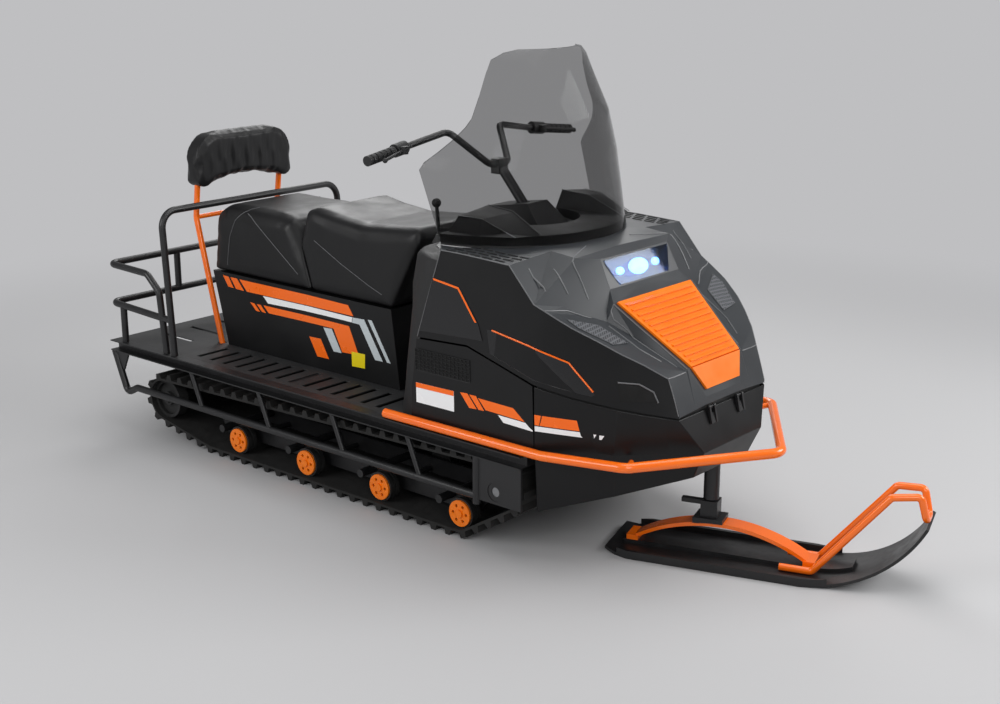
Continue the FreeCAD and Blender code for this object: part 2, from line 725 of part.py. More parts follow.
def hood_body(inset):
    """The hood as a closed form, inset by a wall, open ends run past."""
    sections = []
    last = len(HOOD_STATIONS) - 1
    for index, station in enumerate(HOOD_STATIONS):
        shift = 0.0
        if inset and index == 0:
            shift = -20.0
        if inset and index == last:
            shift = -inset * 1.3
        sections.append(hood_section(station, inset, 30.0 if inset else 0.0, shift))
    return Part.makeLoft(sections, True, True)


def hood():
    """The tilting engine hood, a thin moulded shell."""
    shell = hood_body(0.0).cut(hood_body(WALL))
    notch = box(1400, NOTCH_FRONT, -NOTCH_HALF, NOTCH_HALF, 780, 1000)
    shell = shell.cut(notch).cut(lamp_body(FREE_GAP, LAMP_DEPTH + 10, 20.0))
    for side in (RIGHT_SIDE, LEFT_SIDE):
        pocket = box(2060, 2200, side * 250, side * 420, 588, 640)
        shell = shell.cut(pocket.common(hood_body(0.0).cut(hood_body(WALL * 0.5))))
    ears = []
    for side in (RIGHT_SIDE, LEFT_SIDE):
        y0, y1 = side * (HINGE_Y - HINGE_LEAF / 2), side * (HINGE_Y + HINGE_LEAF / 2)
        eye = cross_rod(HINGE_X, HINGE_Z, y0, y1, HINGE_EYE)
        arm = box(HINGE_X - 18, HINGE_X, y0, y1, HINGE_Z, HINGE_Z + HINGE_EYE + 2)
        ears.append(eye.fuse(arm))
    body = joined([shell] + ears)
    return body.cut(cross_rod(HINGE_X, HINGE_Z, -120, 120, HINGE_PIN + RUNNING))


def grille_slab(lift, thick, margin):
    """The sloping panel down the hood's spine, over its bend."""
    top, bend, end = GRILLE_TOP, GRILLE_BEND, HOOD_STATIONS[-1]
    stations = [(top[0], top[5] - margin, top[6]), (bend[0], bend[5] - margin, bend[6]),
                (end[0] - 8, 92.0 - margin * 0.3, end[6] + (bend[6] - end[6]) * 8 / (end[0] - bend[0]))]
    solids = []
    for (x0, h0, z0), (x1, h1, z1) in zip(stations, stations[1:]):
        slope = math.atan2(z1 - z0, x1 - x0)
        out = V(-math.sin(slope), 0, math.cos(slope))
        low = polygon([V(x0, -h0, z0) + out * lift, V(x0, h0, z0) + out * lift,
                       V(x1, h1, z1) + out * lift, V(x1, -h1, z1) + out * lift])
        solids.append(Part.Face(low).extrude(out * thick))
    return solids


def grille():
    """The air grille: a panel with louvre ribs, seated on the hood's spine."""
    slabs = grille_slab(FREE_GAP, 7.0, 14.0)
    top, bend = GRILLE_TOP, GRILLE_BEND
    slope = math.atan2(bend[6] - top[6], bend[0] - top[0])
    along = V(math.cos(slope), 0, math.sin(slope))
    out = V(-math.sin(slope), 0, math.cos(slope))
    length = math.hypot(bend[0] - top[0], bend[6] - top[6])
    ribs = []
    for index in range(BEND_RIBS):
        share = (index + 0.9) / (BEND_RIBS + 0.8)
        half = top[5] + (bend[5] - top[5]) * share - 14.0 - 16.0
        foot = V(top[0], 0, top[6]) + along * (length * share) + out * (FREE_GAP + 7.0)
        rib = Part.Face(polygon([foot - along * 7, foot + along * 6, foot + along * 6 + out * 6])).extrude(V(0, half, 0))
        ribs.append(rib.fuse(mirrored(rib)))
    return joined(slabs + ribs)


def lamp_body(margin, depth, proud):
    """The lamp's outline on the steep step of the hood, made solid through it."""
    foot = V(LAMP_FOOT[0], 0, LAMP_FOOT[6])
    rise = V(LAMP_TOP[0], 0, LAMP_TOP[6]) - foot
    height = rise.Length
    rise.normalize()
    out = V(rise.z, 0, -rise.x)
    low, high = foot + rise * (5 - margin), foot + rise * (height - 5 + margin)
    corners = [low + LEFT * -(LAMP_HALF_FOOT + margin), low + LEFT * (LAMP_HALF_FOOT + margin),
               high + LEFT * (LAMP_HALF_TOP + margin), high + LEFT * -(LAMP_HALF_TOP + margin)]
    face = Part.Face(polygon([corner - out * depth for corner in corners]))
    return face.extrude(out * (depth + proud))


def headlamp():
    """The wide lamp unit above the grille, set into the hood."""
    return lamp_body(0.0, LAMP_DEPTH, LAMP_PROUD)


def screen_section(station):
    """A thin crescent in plan: the windscreen at one height."""
    z, front, edge, half = station
    depth = front - edge
    radius = (depth * depth + half * half) / (2 * depth)
    centre = front - radius
    inner = radius - SCREEN_WALL
    angle = math.atan2(half, edge - centre)
    def at(r, a):
        return V(centre + r * math.cos(a), r * math.sin(a), z)
    outer_arc = Part.Arc(at(radius, -angle), at(radius, 0), at(radius, angle)).toShape()
    inner_arc = Part.Arc(at(inner, angle), at(inner, 0), at(inner, -angle)).toShape()
    ends = [Part.LineSegment(at(radius, angle), at(inner, angle)).toShape(),
            Part.LineSegment(at(inner, -angle), at(radius, -angle)).toShape()]
    return Part.Wire([outer_arc, ends[0], inner_arc, ends[1]])


def windscreen():
    """The wrapped windscreen with its two low wings, its foot trimmed to the hood."""
    sections = [screen_section(station) for station in SCREEN_STATIONS]
    solids = [Part.makeLoft([a, b], True, True) for a, b in zip(sections, sections[1:])]
    return joined(solids).cut(hood_body(-FREE_GAP))


def belly_body(inset):
    """The lower front body as a closed form between three outlines."""
    slope = (HOOD_STATIONS[-1][2] - HOOD_STATIONS[3][2]) / (HOOD_STATIONS[-1][0] - HOOD_STATIONS[3][0])

    def top_z(x):
        return HOOD_STATIONS[-1][2] + slope * (x - HOOD_STATIONS[-1][0]) - PARTING_GAP

    rear = BELLY_REAR - (20 if inset else 0)
    lift = 30 if inset else 0
    top = [(rear, 374), (2290, 345), (2430 - inset, 214)]
    crease = [(rear, 386), (2300, 350), (2471 - inset * 1.2, 157)]
    bottom = [(rear, 372), (2257, 300), (2432 - inset * 1.5, 150)]
    outlines = []
    for (x, half), (low_x, low_half) in zip(list(top), crease):
        rise = lift / (top_z(x) - BELLY_CREASE_Z)
        top[top.index((x, half))] = (x + (x - low_x) * rise, half + (half - low_half) * rise)
    for rows, height in ((top, None), (crease, BELLY_CREASE_Z), (bottom, 0)):
        points = []
        for x, half in rows:
            if height is None:
                z = top_z(x) + lift
            elif height == 0:
                z = 158 + 0.34 * (x - BELLY_REAR) + inset * 1.2
            else:
                z = height
            points.append(V(x, half - inset, z))
        points += [V(p.x, -p.y, p.z) for p in reversed(points)]
        outlines.append(polygon(points))
    halves = [Part.makeLoft([outlines[0], outlines[1]], True, True), Part.makeLoft([outlines[1], outlines[2]], True, True)]
    return joined(halves)


def belly_pan():
    """The lower nose, a thin shell that is open above and behind."""
    shell = belly_body(0.0).cut(belly_body(WALL))
    neck = Part.makeCylinder(KING_RADIUS + BOSS_WALL + 2, 200, V(KING_X, 0, 180))
    return shell.cut(neck).cut(box(BELLY_REAR - 10, 2320, -SPINE_HALF - 1, SPINE_HALF + 1, 100, 304))


def side_panel(side):
    """The fixed lower cowl side beside the engine, with its vent opening."""
    outer = []
    inner = []
    foot = DECK_TOP + FREE_GAP
    def ring(x, low_half, top_half, top, wall):
        return polygon([V(x, low_half, foot), V(x, top_half, top), V(x, top_half - wall, top), V(x, low_half - wall, foot)])
    stations = [(PANEL_REAR_FOOT, 344, 340, 598), (1510, 350, 348, 604), (1750, 362, 364, 616),
                (1886, 374, 372, 586), (BELLY_REAR - FREE_GAP, 384, 375, 555)]
    rings = [ring(x, low, top, z - PARTING_GAP, WALL * 2) for x, low, top, z in stations]
    panel = Part.makeLoft(rings, True, True)
    slant = side_plate([(1300, foot - 1), (PANEL_REAR_FOOT, foot - 1), (PANEL_REAR_TOP, 640), (1300, 640)], 200, 500)
    panel = panel.cut(slant)
    wide = VENT_COLUMNS * VENT_PITCH + 12
    tall = VENT_ROWS * VENT_PITCH + 12
    window = box(VENT_X - wide / 2, VENT_X + wide / 2, 300, 420, VENT_Z - tall / 2, VENT_Z + tall / 2)
    return on_side(panel.cut(window), side)


def side_vents():
    """A square-holed vent in each lower cowl side."""
    vents = []
    wide = VENT_COLUMNS * VENT_PITCH + 12 - 2 * FREE_GAP
    tall = VENT_ROWS * VENT_PITCH + 12 - 2 * FREE_GAP
    y = 343.5
    plate = box(VENT_X - wide / 2, VENT_X + wide / 2, y, y + 5, VENT_Z - tall / 2, VENT_Z + tall / 2)
    holes = []
    for column in range(VENT_COLUMNS):
        for row in range(VENT_ROWS):
            x = VENT_X + (column - (VENT_COLUMNS - 1) / 2) * VENT_PITCH
            z = VENT_Z + (row - (VENT_ROWS - 1) / 2) * VENT_PITCH
            holes.append(box(x - VENT_HOLE / 2, x + VENT_HOLE / 2, y - 1, y + 6, z - VENT_HOLE / 2, z + VENT_HOLE / 2))
    plate = plate.cut(Part.makeCompound(holes))
    return Part.makeCompound([plate, mirrored(plate)])


def knee_panel():
    """The rear wall of the engine bay, with the ledge that carries the gear lever."""
    low, high = DECK_TOP + FREE_GAP, 878.0
    outline = [(PANEL_REAR_FOOT - 22, low), (PANEL_REAR_FOOT - 14, low), (1446, 600), (1470, high - 8),
               (1504, high - 8), (1504, high), (1428, high), (1438, 600)]
    wall = side_plate(outline, -282, 282)
    foot = side_plate([(PANEL_REAR_FOOT - 22, low), (PANEL_REAR_FOOT - 14, low), (1446, 600), (1438, 600)], -335, 335)
    return wall.fuse(foot).removeSplitter()


def console():
    """The fixed dash in the hood's notch, with the pod round the steering column."""
    half = NOTCH_HALF - 8.0
    base = side_plate([(1504.3, 866), (NOTCH_FRONT - 8, 890), (NOTCH_FRONT - 8, 926), (1700, 940), (1504.3, 912)], -half, half)
    pod = Part.makeLoft([
        polygon([V(1520, -95, 905), V(1800, -80, 925), V(1800, 80, 925), V(1520, 95, 905)]),
        polygon([V(1545, -62, 985), V(1712, -50, 1010), V(1712, 50, 1010), V(1545, 62, 985)]),
    ], True, True)
    blocks = []
    for side in (RIGHT_SIDE, LEFT_SIDE):
        blocks.append(box(1540, 1690, side * 100, side * 136, 915, 962))
    body = joined([base, pod] + blocks)
    leg = box(1476, 1560, -60, 60, 800, 870)
    leg = leg.cut(side_plate([(1460, 790), (1472, 790), (1474.3, 870), (1460, 870)], -70, 70))
    axis = column_axis()
    hole = rod(COLUMN_TOP - axis * 450, COLUMN_TOP, COLUMN_RADIUS + 6)
    return joined([body, leg]).cut(hole)


def engine_block():
    """The engine, as one plain mass."""
    x0, x1, half, top = ENGINE
    return box(x0, x1, -half, half, DECK_TOP + FREE_GAP, top)


def hood_hinges():
    """The fixed leaves of the hood's hinge, with their pins, on the nose."""
    parts = []
    face_slope = (2471 - 2430) / (496.0 - BELLY_CREASE_Z)
    def face_x(z):
        return 2430 + (HOOD_STATIONS[-1][2] - PARTING_GAP - z) * face_slope + 0.5
    for side in (RIGHT_SIDE, LEFT_SIDE):
        pin = cross_rod(HINGE_X, HINGE_Z, side * (HINGE_Y - 20), side * (HINGE_Y + 20), HINGE_PIN)
        leaves = [pin]
        for centre in (HINGE_Y - 13, HINGE_Y + 13):
            y0, y1 = side * (centre - 4), side * (centre + 4)
            foot = side_plate([(face_x(492), 492), (HINGE_X + 5, HINGE_Z), (face_x(452) + 6, 452), (face_x(452), 452)], y0, y1)
            leaves.append(foot.fuse(cross_rod(HINGE_X, HINGE_Z, y0, y1, HINGE_PIN + 2.5)))
        base = side_plate([(face_x(480), 480), (face_x(480) + 4, 480), (face_x(452) + 4, 452), (face_x(452), 452)],
                          side * (HINGE_Y - 17), side * (HINGE_Y + 17))
        parts.append(joined(leaves + [base]))
    return Part.makeCompound(parts)


def front_bumper():
    """The bumper tube round the nose, from one edge of the deck to the other."""
    z = DECK_TOP + BUMPER_TUBE + FREE_GAP
    line = [V(BUMPER_START, BUMPER_BEND[1], z), V(*BUMPER_BEND), V(*BUMPER_SHOULDER), V(*BUMPER_TIP)]
    left = line[:-1]
    right = [V(p.x, -p.y, p.z) for p in left]
    tube = bent_tube(left + [V(*BUMPER_TIP)] + right[::-1], BUMPER_TUBE, 46.0)
    stays = []
    for side in (RIGHT_SIDE, LEFT_SIDE):
        stays.append(rod(V(2340, side * 335, 372), V(2372, side * 396, 378), 9.0))
    outside = belly_body(0.0)
    return joined([tube] + stays).cut(grown(outside))


def grown(shape):
    """A copy of the lower nose that is a hair larger, to trim what seats on it."""
    centre = V(2200, 0, 330)
    copy = shape.copy()
    copy.scale(1.0012, centre)
    return copy


# Steering

def column_axis():
    """The direction up the steering column."""
    tilt = math.radians(COLUMN_TILT)
    return V(-math.sin(tilt), 0, math.cos(tilt))


def steering_column():
    """The raked tube from the bar clamp down to the nose."""
    axis = column_axis()
    tube = rod(COLUMN_TOP - axis * COLUMN_LENGTH, COLUMN_TOP - axis * (BAR_RADIUS + CLAMP_WALL), COLUMN_RADIUS)
    reach = BAR_RADIUS + CLAMP_WALL
    clamp = box(BAR_CENTRE.x - reach, BAR_CENTRE.x + reach, -CLAMP_HALF, CLAMP_HALF,
                BAR_CENTRE.z - reach - 14, BAR_CENTRE.z + reach)
    pocket = cross_rod(BAR_CENTRE.x, BAR_CENTRE.z, -60, 60, BAR_RADIUS + FREE_GAP)
    return tube.fuse(clamp).cut(pocket)


def column_mount():
    """The bearing that holds the column's lower end over the spine."""
    axis = column_axis()
    centre = COLUMN_TOP - axis * BUSH_AT
    half = axis * (BUSH_LENGTH / 2)
    sleeve = rod(centre - half, centre + half, COLUMN_RADIUS + 9)
    base = DECK_TOP - DECK_DEPTH
    post = box(centre.x - 26, centre.x + 30, -24, 24, base, centre.z - 2)
    foot = box(centre.x - 60, centre.x + 60, -SPINE_HALF, SPINE_HALF, base, base + 8)
    body = joined([sleeve, post, foot])
    return body.cut(rod(COLUMN_TOP - axis * (COLUMN_LENGTH + 200), COLUMN_TOP, COLUMN_RADIUS + RUNNING))


def bar_points(side):
    """The bends of one half of the handlebar, from the clamp outwards."""
    points = [BAR_CENTRE, BAR_CENTRE + LEFT * 44, BAR_ELBOW, BAR_HAND, BAR_END]
    return [V(p.x, side * p.y, p.z) for p in points]


def handlebar():
    """The bent handlebar tube."""
    right = bar_points(RIGHT_SIDE)
    left = bar_points(LEFT_SIDE)
    return bent_tube(right[::-1][:-1] + left[1:], BAR_RADIUS, BAR_BEND)


def bar_frame(side):
    """The start of a grip and the direction outwards along it."""
    hand = V(BAR_HAND.x, side * BAR_HAND.y, BAR_HAND.z)
    end = V(BAR_END.x, side * BAR_END.y, BAR_END.z)
    return end, (end - hand).normalize()


def grips():
    """Two ribbed rubber grips."""
    parts = []
    for side in (RIGHT_SIDE, LEFT_SIDE):
        end, out = bar_frame(side)
        grip = rod(end - out * GRIP_LENGTH, end + out * 4, GRIP_RADIUS)
        for index in range(5):
            place = end - out * (14 + index * 22)
            ring = rod(place, place + out * 6, GRIP_RADIUS + 1).cut(rod(place, place + out * 6, GRIP_RADIUS - 2))
            grip = grip.cut(ring)
        parts.append(grip.cut(rod(end - out * (GRIP_LENGTH + 5), end, BAR_RADIUS + FREE_GAP)))
    return Part.makeCompound(parts)


def hand_controls():
    """A clamped housing and its lever beside each grip."""
    parts = []
    for side in (RIGHT_SIDE, LEFT_SIDE):
        end, out = bar_frame(side)
        start = end - out * (GRIP_LENGTH + 6)
        housing = rod(start - out * HOUSING_LENGTH, start, HOUSING_RADIUS)
        ahead = V(out.y, -out.x, 0).normalize() * (1 if side == LEFT_SIDE else -1)
        pivot = start - out * 20 + ahead * 22
        block = rod(pivot + UP * -12, pivot + UP * 12, 14)
        tip = pivot + out * 128 + ahead * 26
        lever = rod(pivot, tip, 5.0)
        ball = Part.makeSphere(8.0, tip)
        body = joined([housing, block, lever, ball])
        parts.append(body.cut(rod(start - out * 90, start + out * 20, BAR_RADIUS + FREE_GAP)))
    return Part.makeCompound(parts)


def gear_lever():
    """The short lever and its ball on the ledge behind the hood."""
    foot = V(1474, -200, 878.0 + FREE_GAP)
    head = V(1462, -200, 1004)
    boot = Part.makeCone(24, 11, 26, foot)
    return joined([boot, rod(foot + UP * 8, head, 6.0), Part.makeSphere(15.0, head)])


# Ski

def in_place(shape):
    """A shape drawn straight ahead of the kingpin, turned as the ski stands."""
    turned = shape.copy()
    turned.rotate(V(0, 0, 0), UP, SKI_TURN)
    turned.translate(V(KING_X, 0, 0))
    return turned


def ski_line(offset):
    """The ski's side view as edges, from its rear to its tip, at an offset upwards."""
    rise_x = SKI_TIP - SKI_FLAT_FRONT
    radius = (rise_x ** 2 + SKI_TIP_Z ** 2) / (2 * SKI_TIP_Z)
    swing = math.asin(rise_x / radius)
    def front(angle):
        reach = radius - offset
        return V(SKI_FLAT_FRONT + reach * math.sin(angle), 0, radius - reach * math.cos(angle))
    rear = V(SKI_REAR, 0, SKI_HEEL_LIFT + offset)
    heel = V(SKI_REAR + SKI_HEEL, 0, offset)
    return [Part.LineSegment(rear, heel).toShape(), Part.LineSegment(heel, front(0)).toShape(),
            Part.Arc(front(0), front(swing / 2), front(swing)).toShape()]


def ski_slab(low, high, half):
    """A strip of the ski's side view between two offsets."""
    lower = ski_line(low)
    upper = ski_line(high)
    a, b = lower[0].Vertexes[0].Point, upper[0].Vertexes[0].Point
    c, d = lower[-1].Vertexes[-1].Point, upper[-1].Vertexes[-1].Point
    edges = lower + [Part.LineSegment(c, d).toShape()] + upper[::-1] + [Part.LineSegment(b, a).toShape()]
    face = Part.Face(Part.Wire(Part.__sortEdges__(edges)))
    return face.extrude(V(0, 2 * half, 0)).translated(V(0, -half, 0))


def ski():
    """The single wide ski: a trough with turned-up edges and a tapering tip."""
    body = ski_slab(0, SKI_FLANGE, SKI_HALF).cut(ski_slab(SKI_THICK, SKI_FLANGE + 1, SKI_HALF - 14))
    half = SKI_HALF + 1
    plan = flat_plate([(SKI_REAR - 5, -half + 34), (SKI_REAR + 80, -half), (SKI_FLAT_FRONT - 20, -half),
                       (SKI_TIP + 40, -70), (SKI_TIP + 40, 70), (SKI_FLAT_FRONT - 20, half),
                       (SKI_REAR + 80, half), (SKI_REAR - 5, half - 34)], -10, 400)
    ridge = ski_slab(SKI_THICK - 1, SKI_THICK + SKI_RIDGE, 34)
    body = joined([body.common(plan), ridge.common(box(SKI_REAR + SKI_HEEL, SKI_FLAT_FRONT + 120, -60, 60, 0, 200))])
    return in_place(body)


def spring_leaf(low, high, half):
    """The arched leaf between two heights over its underside."""
    foot = SKI_THICK + SKI_RIDGE + FREE_GAP

    def arch(lift):
        return Part.Arc(V(SPRING_REAR, 0, foot + lift), V(0, 0, SPRING_TOP - SPRING_THICK + lift),
                        V(SPRING_FRONT, 0, foot + lift)).toShape()

    ends = [Part.LineSegment(V(x, 0, foot + low), V(x, 0, foot + high)).toShape()
            for x in (SPRING_REAR, SPRING_FRONT)]
    outline = Part.Wire(Part.__sortEdges__([arch(low), arch(high)] + ends))
    return Part.Face(outline).extrude(V(0, 2 * half, 0)).translated(V(0, -half, 0))


def ski_spring():
    """The arched leaf spring that carries the nose on the ski."""
    low = SKI_THICK + SKI_RIDGE + FREE_GAP
    leaf = spring_leaf(0, SPRING_THICK, SPRING_WIDTH / 2)
    shoes = []
    for x in (SPRING_REAR, SPRING_FRONT):
        shoes.append(box(x - 18, x + 18, -SPRING_WIDTH / 2 - 6, SPRING_WIDTH / 2 + 6, low, low + SPRING_THICK + 4))
    return in_place(joined([leaf] + shoes))


def ski_loop():
    """The orange grab loop over the ski's tip."""
    foot = SKI_THICK + LOOP_TUBE + FREE_GAP
    side = [V(230, LOOP_HALF, foot), V(326, LOOP_HALF, foot), V(540, LOOP_HALF - 8, 282), V(620, 40, 290)]
    nose = V(SKI_TIP - 14, 30, SKI_TIP_Z + LOOP_TUBE)
    left = side + [nose]
    right = [V(p.x, -p.y, p.z) for p in left]
    tube = bent_tube(left + right[::-1], LOOP_TUBE, 17.0)
    return in_place(tube.cut(ski_slab(-5, SKI_THICK + FREE_GAP, SKI_HALF)))


def ski_knuckle():
    """The turning leg: kingpin, fork and the saddle that is bolted to the spring."""
    half = SPRING_WIDTH / 2 + 8
    saddle = box(-46, 46, -half, half, SPRING_TOP - 4, SPRING_TOP + 14)
    saddle = saddle.cut(spring_leaf(-60, SPRING_THICK + FREE_GAP, half + 1))
    post = box(-26, 26, -26, 26, SPRING_TOP + 14, 178)
    pin = Part.makeCylinder(KING_RADIUS, KING_TOP - 178, V(0, 0, 178))
    arm = box(-90, 0, -10, 10, 160, 174)
    return in_place(joined([saddle, post, pin, arm]))


def ski_head():
    """The fixed arm from the spine's nose, with the boss that holds the kingpin."""
    boss = Part.makeCylinder(KING_RADIUS + BOSS_WALL, KING_TOP - 182, V(KING_X, 0, 182))
    start = SPINE_FRONT + FREE_GAP
    arm = side_plate([(start, 268), (start, 302), (KING_X, KING_TOP - 4), (KING_X, KING_TOP - 38)], -22, 22)
    head = boss.fuse(arm)
    return head.cut(Part.makeCylinder(KING_RADIUS + RUNNING, 200, V(KING_X, 0, 150)))


def tail_lamp():
    """A small rear lamp under the deck's rear edge."""
    lens = box(-14, -FREE_GAP, 150, 250, DECK_TOP - 36, DECK_TOP - 6)
    return Part.makeCompound([lens, mirrored(lens)])


NODES = {
    "chassis_spine": chassis_spine,
    "deck_frame": deck_frame,
    "cargo_deck": cargo_deck,
    "running_board_right": lambda: running_board(RIGHT_SIDE),
    "running_board_left": lambda: running_board(LEFT_SIDE),
    "side_guard_right": lambda: side_guard(RIGHT_SIDE),
    "side_guard_left": lambda: side_guard(LEFT_SIDE),
    "tow_hitch": tow_hitch,
    "tail_lamps": tail_lamp,
    "rear_rack": rear_rack,
    "backrest_frame": backrest_frame,
    "backrest_pad": backrest_pad,
    "seat_base": seat_base,
    "rear_seat": rear_seat,
    "rider_seat": rider_seat,
    "track_right": lambda: track(RIGHT_SIDE),
    "track_left": lambda: track(LEFT_SIDE),
    "bogie_right": lambda: bogie(RIGHT_SIDE),
    "bogie_left": lambda: bogie(LEFT_SIDE),
    "road_wheels_right": lambda: road_wheels(RIGHT_SIDE),
    "road_wheels_left": lambda: road_wheels(LEFT_SIDE),
    "wheel_caps_right": lambda: wheel_caps(RIGHT_SIDE),
    "wheel_caps_left": lambda: wheel_caps(LEFT_SIDE),
    "drive_axle": drive_axle,
    "rear_idlers": rear_idlers,
    "engine_block": engine_block,
    "belly_pan": belly_pan,
    "side_panel_right": lambda: side_panel(RIGHT_SIDE),
    "side_panel_left": lambda: side_panel(LEFT_SIDE),
    "side_vents": side_vents,
    "knee_panel": knee_panel,
    "console": console,
    "hood_hinges": hood_hinges,
    "front_bumper": front_bumper,
    "column_mount": column_mount,
    "gear_lever": gear_lever,
    "ski_head": ski_head,
    "hood": hood,
    "grille": grille,
    "headlamp": headlamp,
    "windscreen": windscreen,
    "steering_column": steering_column,
    "handlebar": handlebar,
    "grips": grips,
    "hand_controls": hand_controls,
    "ski_knuckle": ski_knuckle,
    "ski_spring": ski_spring,
    "ski": ski,
    "ski_loop": ski_loop,
}


def main():
    """Write one file for each piece."""
    os.makedirs("parts", exist_ok=True)
    shapes = {name: make() for name, make in NODES.items()}
    boxes = {name: shape.optimalBoundingBox(False, False) for name, shape in shapes.items()}
    rear = min(bounds.XMin for bounds in boxes.values())
    front = max(bounds.XMax for bounds in boxes.values())
    middle = (rear + front) / 2
    print("moved back by", round(middle, 3))
    for name, shape in shapes.items():
        shape.translate(V(-middle, 0, 0))
        shape.exportStep("parts/" + name + ".step")
        bounds = boxes[name]
        print(name, len(shape.Solids), shape.isValid(), round(shape.Volume / 1e3),
              [round(v) for v in (bounds.XMin - middle, bounds.XMax - middle, bounds.YMin, bounds.YMax,
                                  bounds.ZMin, bounds.ZMax)])


main()
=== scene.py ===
"""A two-track utility snowmobile with one ski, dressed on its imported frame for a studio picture."""
import math

import bmesh
import bpy
from mathutils import Matrix, Vector
from mathutils.bvhtree import BVHTree


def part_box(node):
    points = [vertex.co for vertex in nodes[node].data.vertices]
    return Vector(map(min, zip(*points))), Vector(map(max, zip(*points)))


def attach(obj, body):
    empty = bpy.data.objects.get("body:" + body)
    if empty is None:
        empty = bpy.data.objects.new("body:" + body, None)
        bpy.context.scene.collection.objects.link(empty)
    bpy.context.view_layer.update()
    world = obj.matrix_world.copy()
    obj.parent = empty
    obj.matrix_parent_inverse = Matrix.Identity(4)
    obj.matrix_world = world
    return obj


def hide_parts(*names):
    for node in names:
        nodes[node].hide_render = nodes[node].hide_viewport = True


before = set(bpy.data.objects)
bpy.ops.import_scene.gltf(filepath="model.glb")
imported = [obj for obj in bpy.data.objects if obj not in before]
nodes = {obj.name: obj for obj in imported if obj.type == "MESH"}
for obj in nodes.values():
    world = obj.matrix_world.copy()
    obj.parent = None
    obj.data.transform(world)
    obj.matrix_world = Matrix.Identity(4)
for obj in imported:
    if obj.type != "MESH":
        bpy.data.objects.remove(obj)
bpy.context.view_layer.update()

# Places are written in mm ahead of the deck's rear end; the frame's own zero lies this far along
MIDDLE = 1493.979
RIGHT, LEFT = -1, 1


def at(x, y, z):
    """A point in metres in the frame, from mm ahead of the deck's rear end."""
    return Vector(((x - MIDDLE) / 1000, y / 1000, z / 1000))


# Materials

def colour(code):
    """An sRGB hex colour as linear RGBA."""
    parts = [int(code[i:i + 2], 16) / 255 for i in (1, 3, 5)]
    return [p / 12.92 if p <= 0.04045 else ((p + 0.055) / 1.055) ** 2.4 for p in parts] + [1.0]


def add(tree, kind, values=None, links=None, **settings):
    """One shader node with its settings, socket values and incoming links."""
    made = tree.nodes.new(kind)
    for name, value in settings.items():
        setattr(made, name, value)
    for socket, value in (values or {}).items():
        made.inputs[socket].default_value = value
    for socket, source in (links or {}).items():
        tree.links.new(source, made.inputs[socket])
    return made


def finish(name, dark, light, patch_mm, grain_mm, depth_mm, rough, stretch=(1, 1, 1), **sockets):
    """A surface whose tone drifts over patches and whose skin has a fine grain, both of real sizes."""
    made = bpy.data.materials.new(name)
    made.use_nodes = True
    made.diffuse_color = colour(light)
    tree = made.node_tree
    shader = tree.nodes["Principled BSDF"]
    place = add(tree, "ShaderNodeTexCoord").outputs["Object"]
    turned = add(tree, "ShaderNodeMapping", {"Scale": stretch}, {"Vector": place}).outputs["Vector"]
    patch = add(tree, "ShaderNodeTexNoise", {"Scale": 1000 / patch_mm, "Detail": 4.0}, {"Vector": place})
    grain = add(tree, "ShaderNodeTexNoise", {"Scale": 1000 / grain_mm, "Detail": 2.0}, {"Vector": turned})
    tone = add(tree, "ShaderNodeMix", {6: colour(dark), 7: colour(light)}, {0: patch.outputs["Fac"]}, data_type="RGBA")
    spread = add(tree, "ShaderNodeMapRange", {1: 0.3, 2: 0.7, 3: rough[0], 4: rough[1]}, {0: patch.outputs["Fac"]})
    bump = add(tree, "ShaderNodeBump", {"Strength": 0.6, "Distance": depth_mm / 1000}, {"Height": grain.outputs["Fac"]})
    tree.links.new(tone.outputs[2], shader.inputs["Base Color"])
    tree.links.new(spread.outputs[0], shader.inputs["Roughness"])
    tree.links.new(bump.outputs["Normal"], shader.inputs["Normal"])
    for socket, value in sockets.items():
        shader.inputs[socket.replace("_", " ")].default_value = value
    return made


# Powder-coated steel tube: a faint orange-peel skin, satin, so edges catch a soft light
FRAME_BLACK = finish("powder_coated_steel_black", "#161617", "#202022", 60, 1.6, 0.06, (0.34, 0.46))
# The same baked powder in orange, glossier, with a clear skin that gives crisp highlights
TUBE_ORANGE = finish("powder_coated_steel_orange", "#ff6a04", "#ff780c", 80, 1.4, 0.03, (0.20, 0.28), Coat_Weight=0.5)
# Moulded ABS body panels: nearly smooth, satin, faintly cloudy where hands and snow have rubbed
BODY_ABS = finish("moulded_abs_satin_black", "#0e0e0f", "#151516", 140, 0.9, 0.02, (0.30, 0.42),
                  Specular_IOR_Level=0.28)
# Painted light: the hood's front, the same black ABS as the sides, given a lighter graphite tone where light from the
# front and top falls, and glossier than the sides
HOOD_ABS_PAINTED_LIT = finish("moulded_abs_black_painted_light", "#2b2d30", "#36393c", 160, 0.9, 0.02, (0.32, 0.42))
# Grained ABS for dash and trims: a leather-like mould grain about 1.5 mm across that kills the gloss
TRIM_ABS = finish("grained_abs_black", "#141415", "#1d1d1e", 60, 1.5, 0.12, (0.55, 0.68))
# Moulded orange polypropylene: even colour, soft gloss
GRILLE_PP = finish("moulded_polypropylene_orange", "#f07000", "#f88008", 50, 1.1, 0.03, (0.28, 0.38))
# Vulcanised rubber track: dull, dusty, with a pebbled skin
TRACK_RUBBER = finish("vulcanised_rubber_track", "#111111", "#1f1e1d", 30, 2.2, 0.3, (0.72, 0.88))
# Cast polyurethane tyre on the rollers
TYRE = finish("cast_polyurethane_black", "#161616", "#222222", 25, 1.5, 0.1, (0.5, 0.65))
# UHMW polyethylene ski: waxy and slightly scuffed lengthwise by snow
SKI_PE = finish("uhmw_polyethylene_black", "#121213", "#1f1f20", 40, 3.0, 0.08, (0.3, 0.5), (0.15, 1, 1))
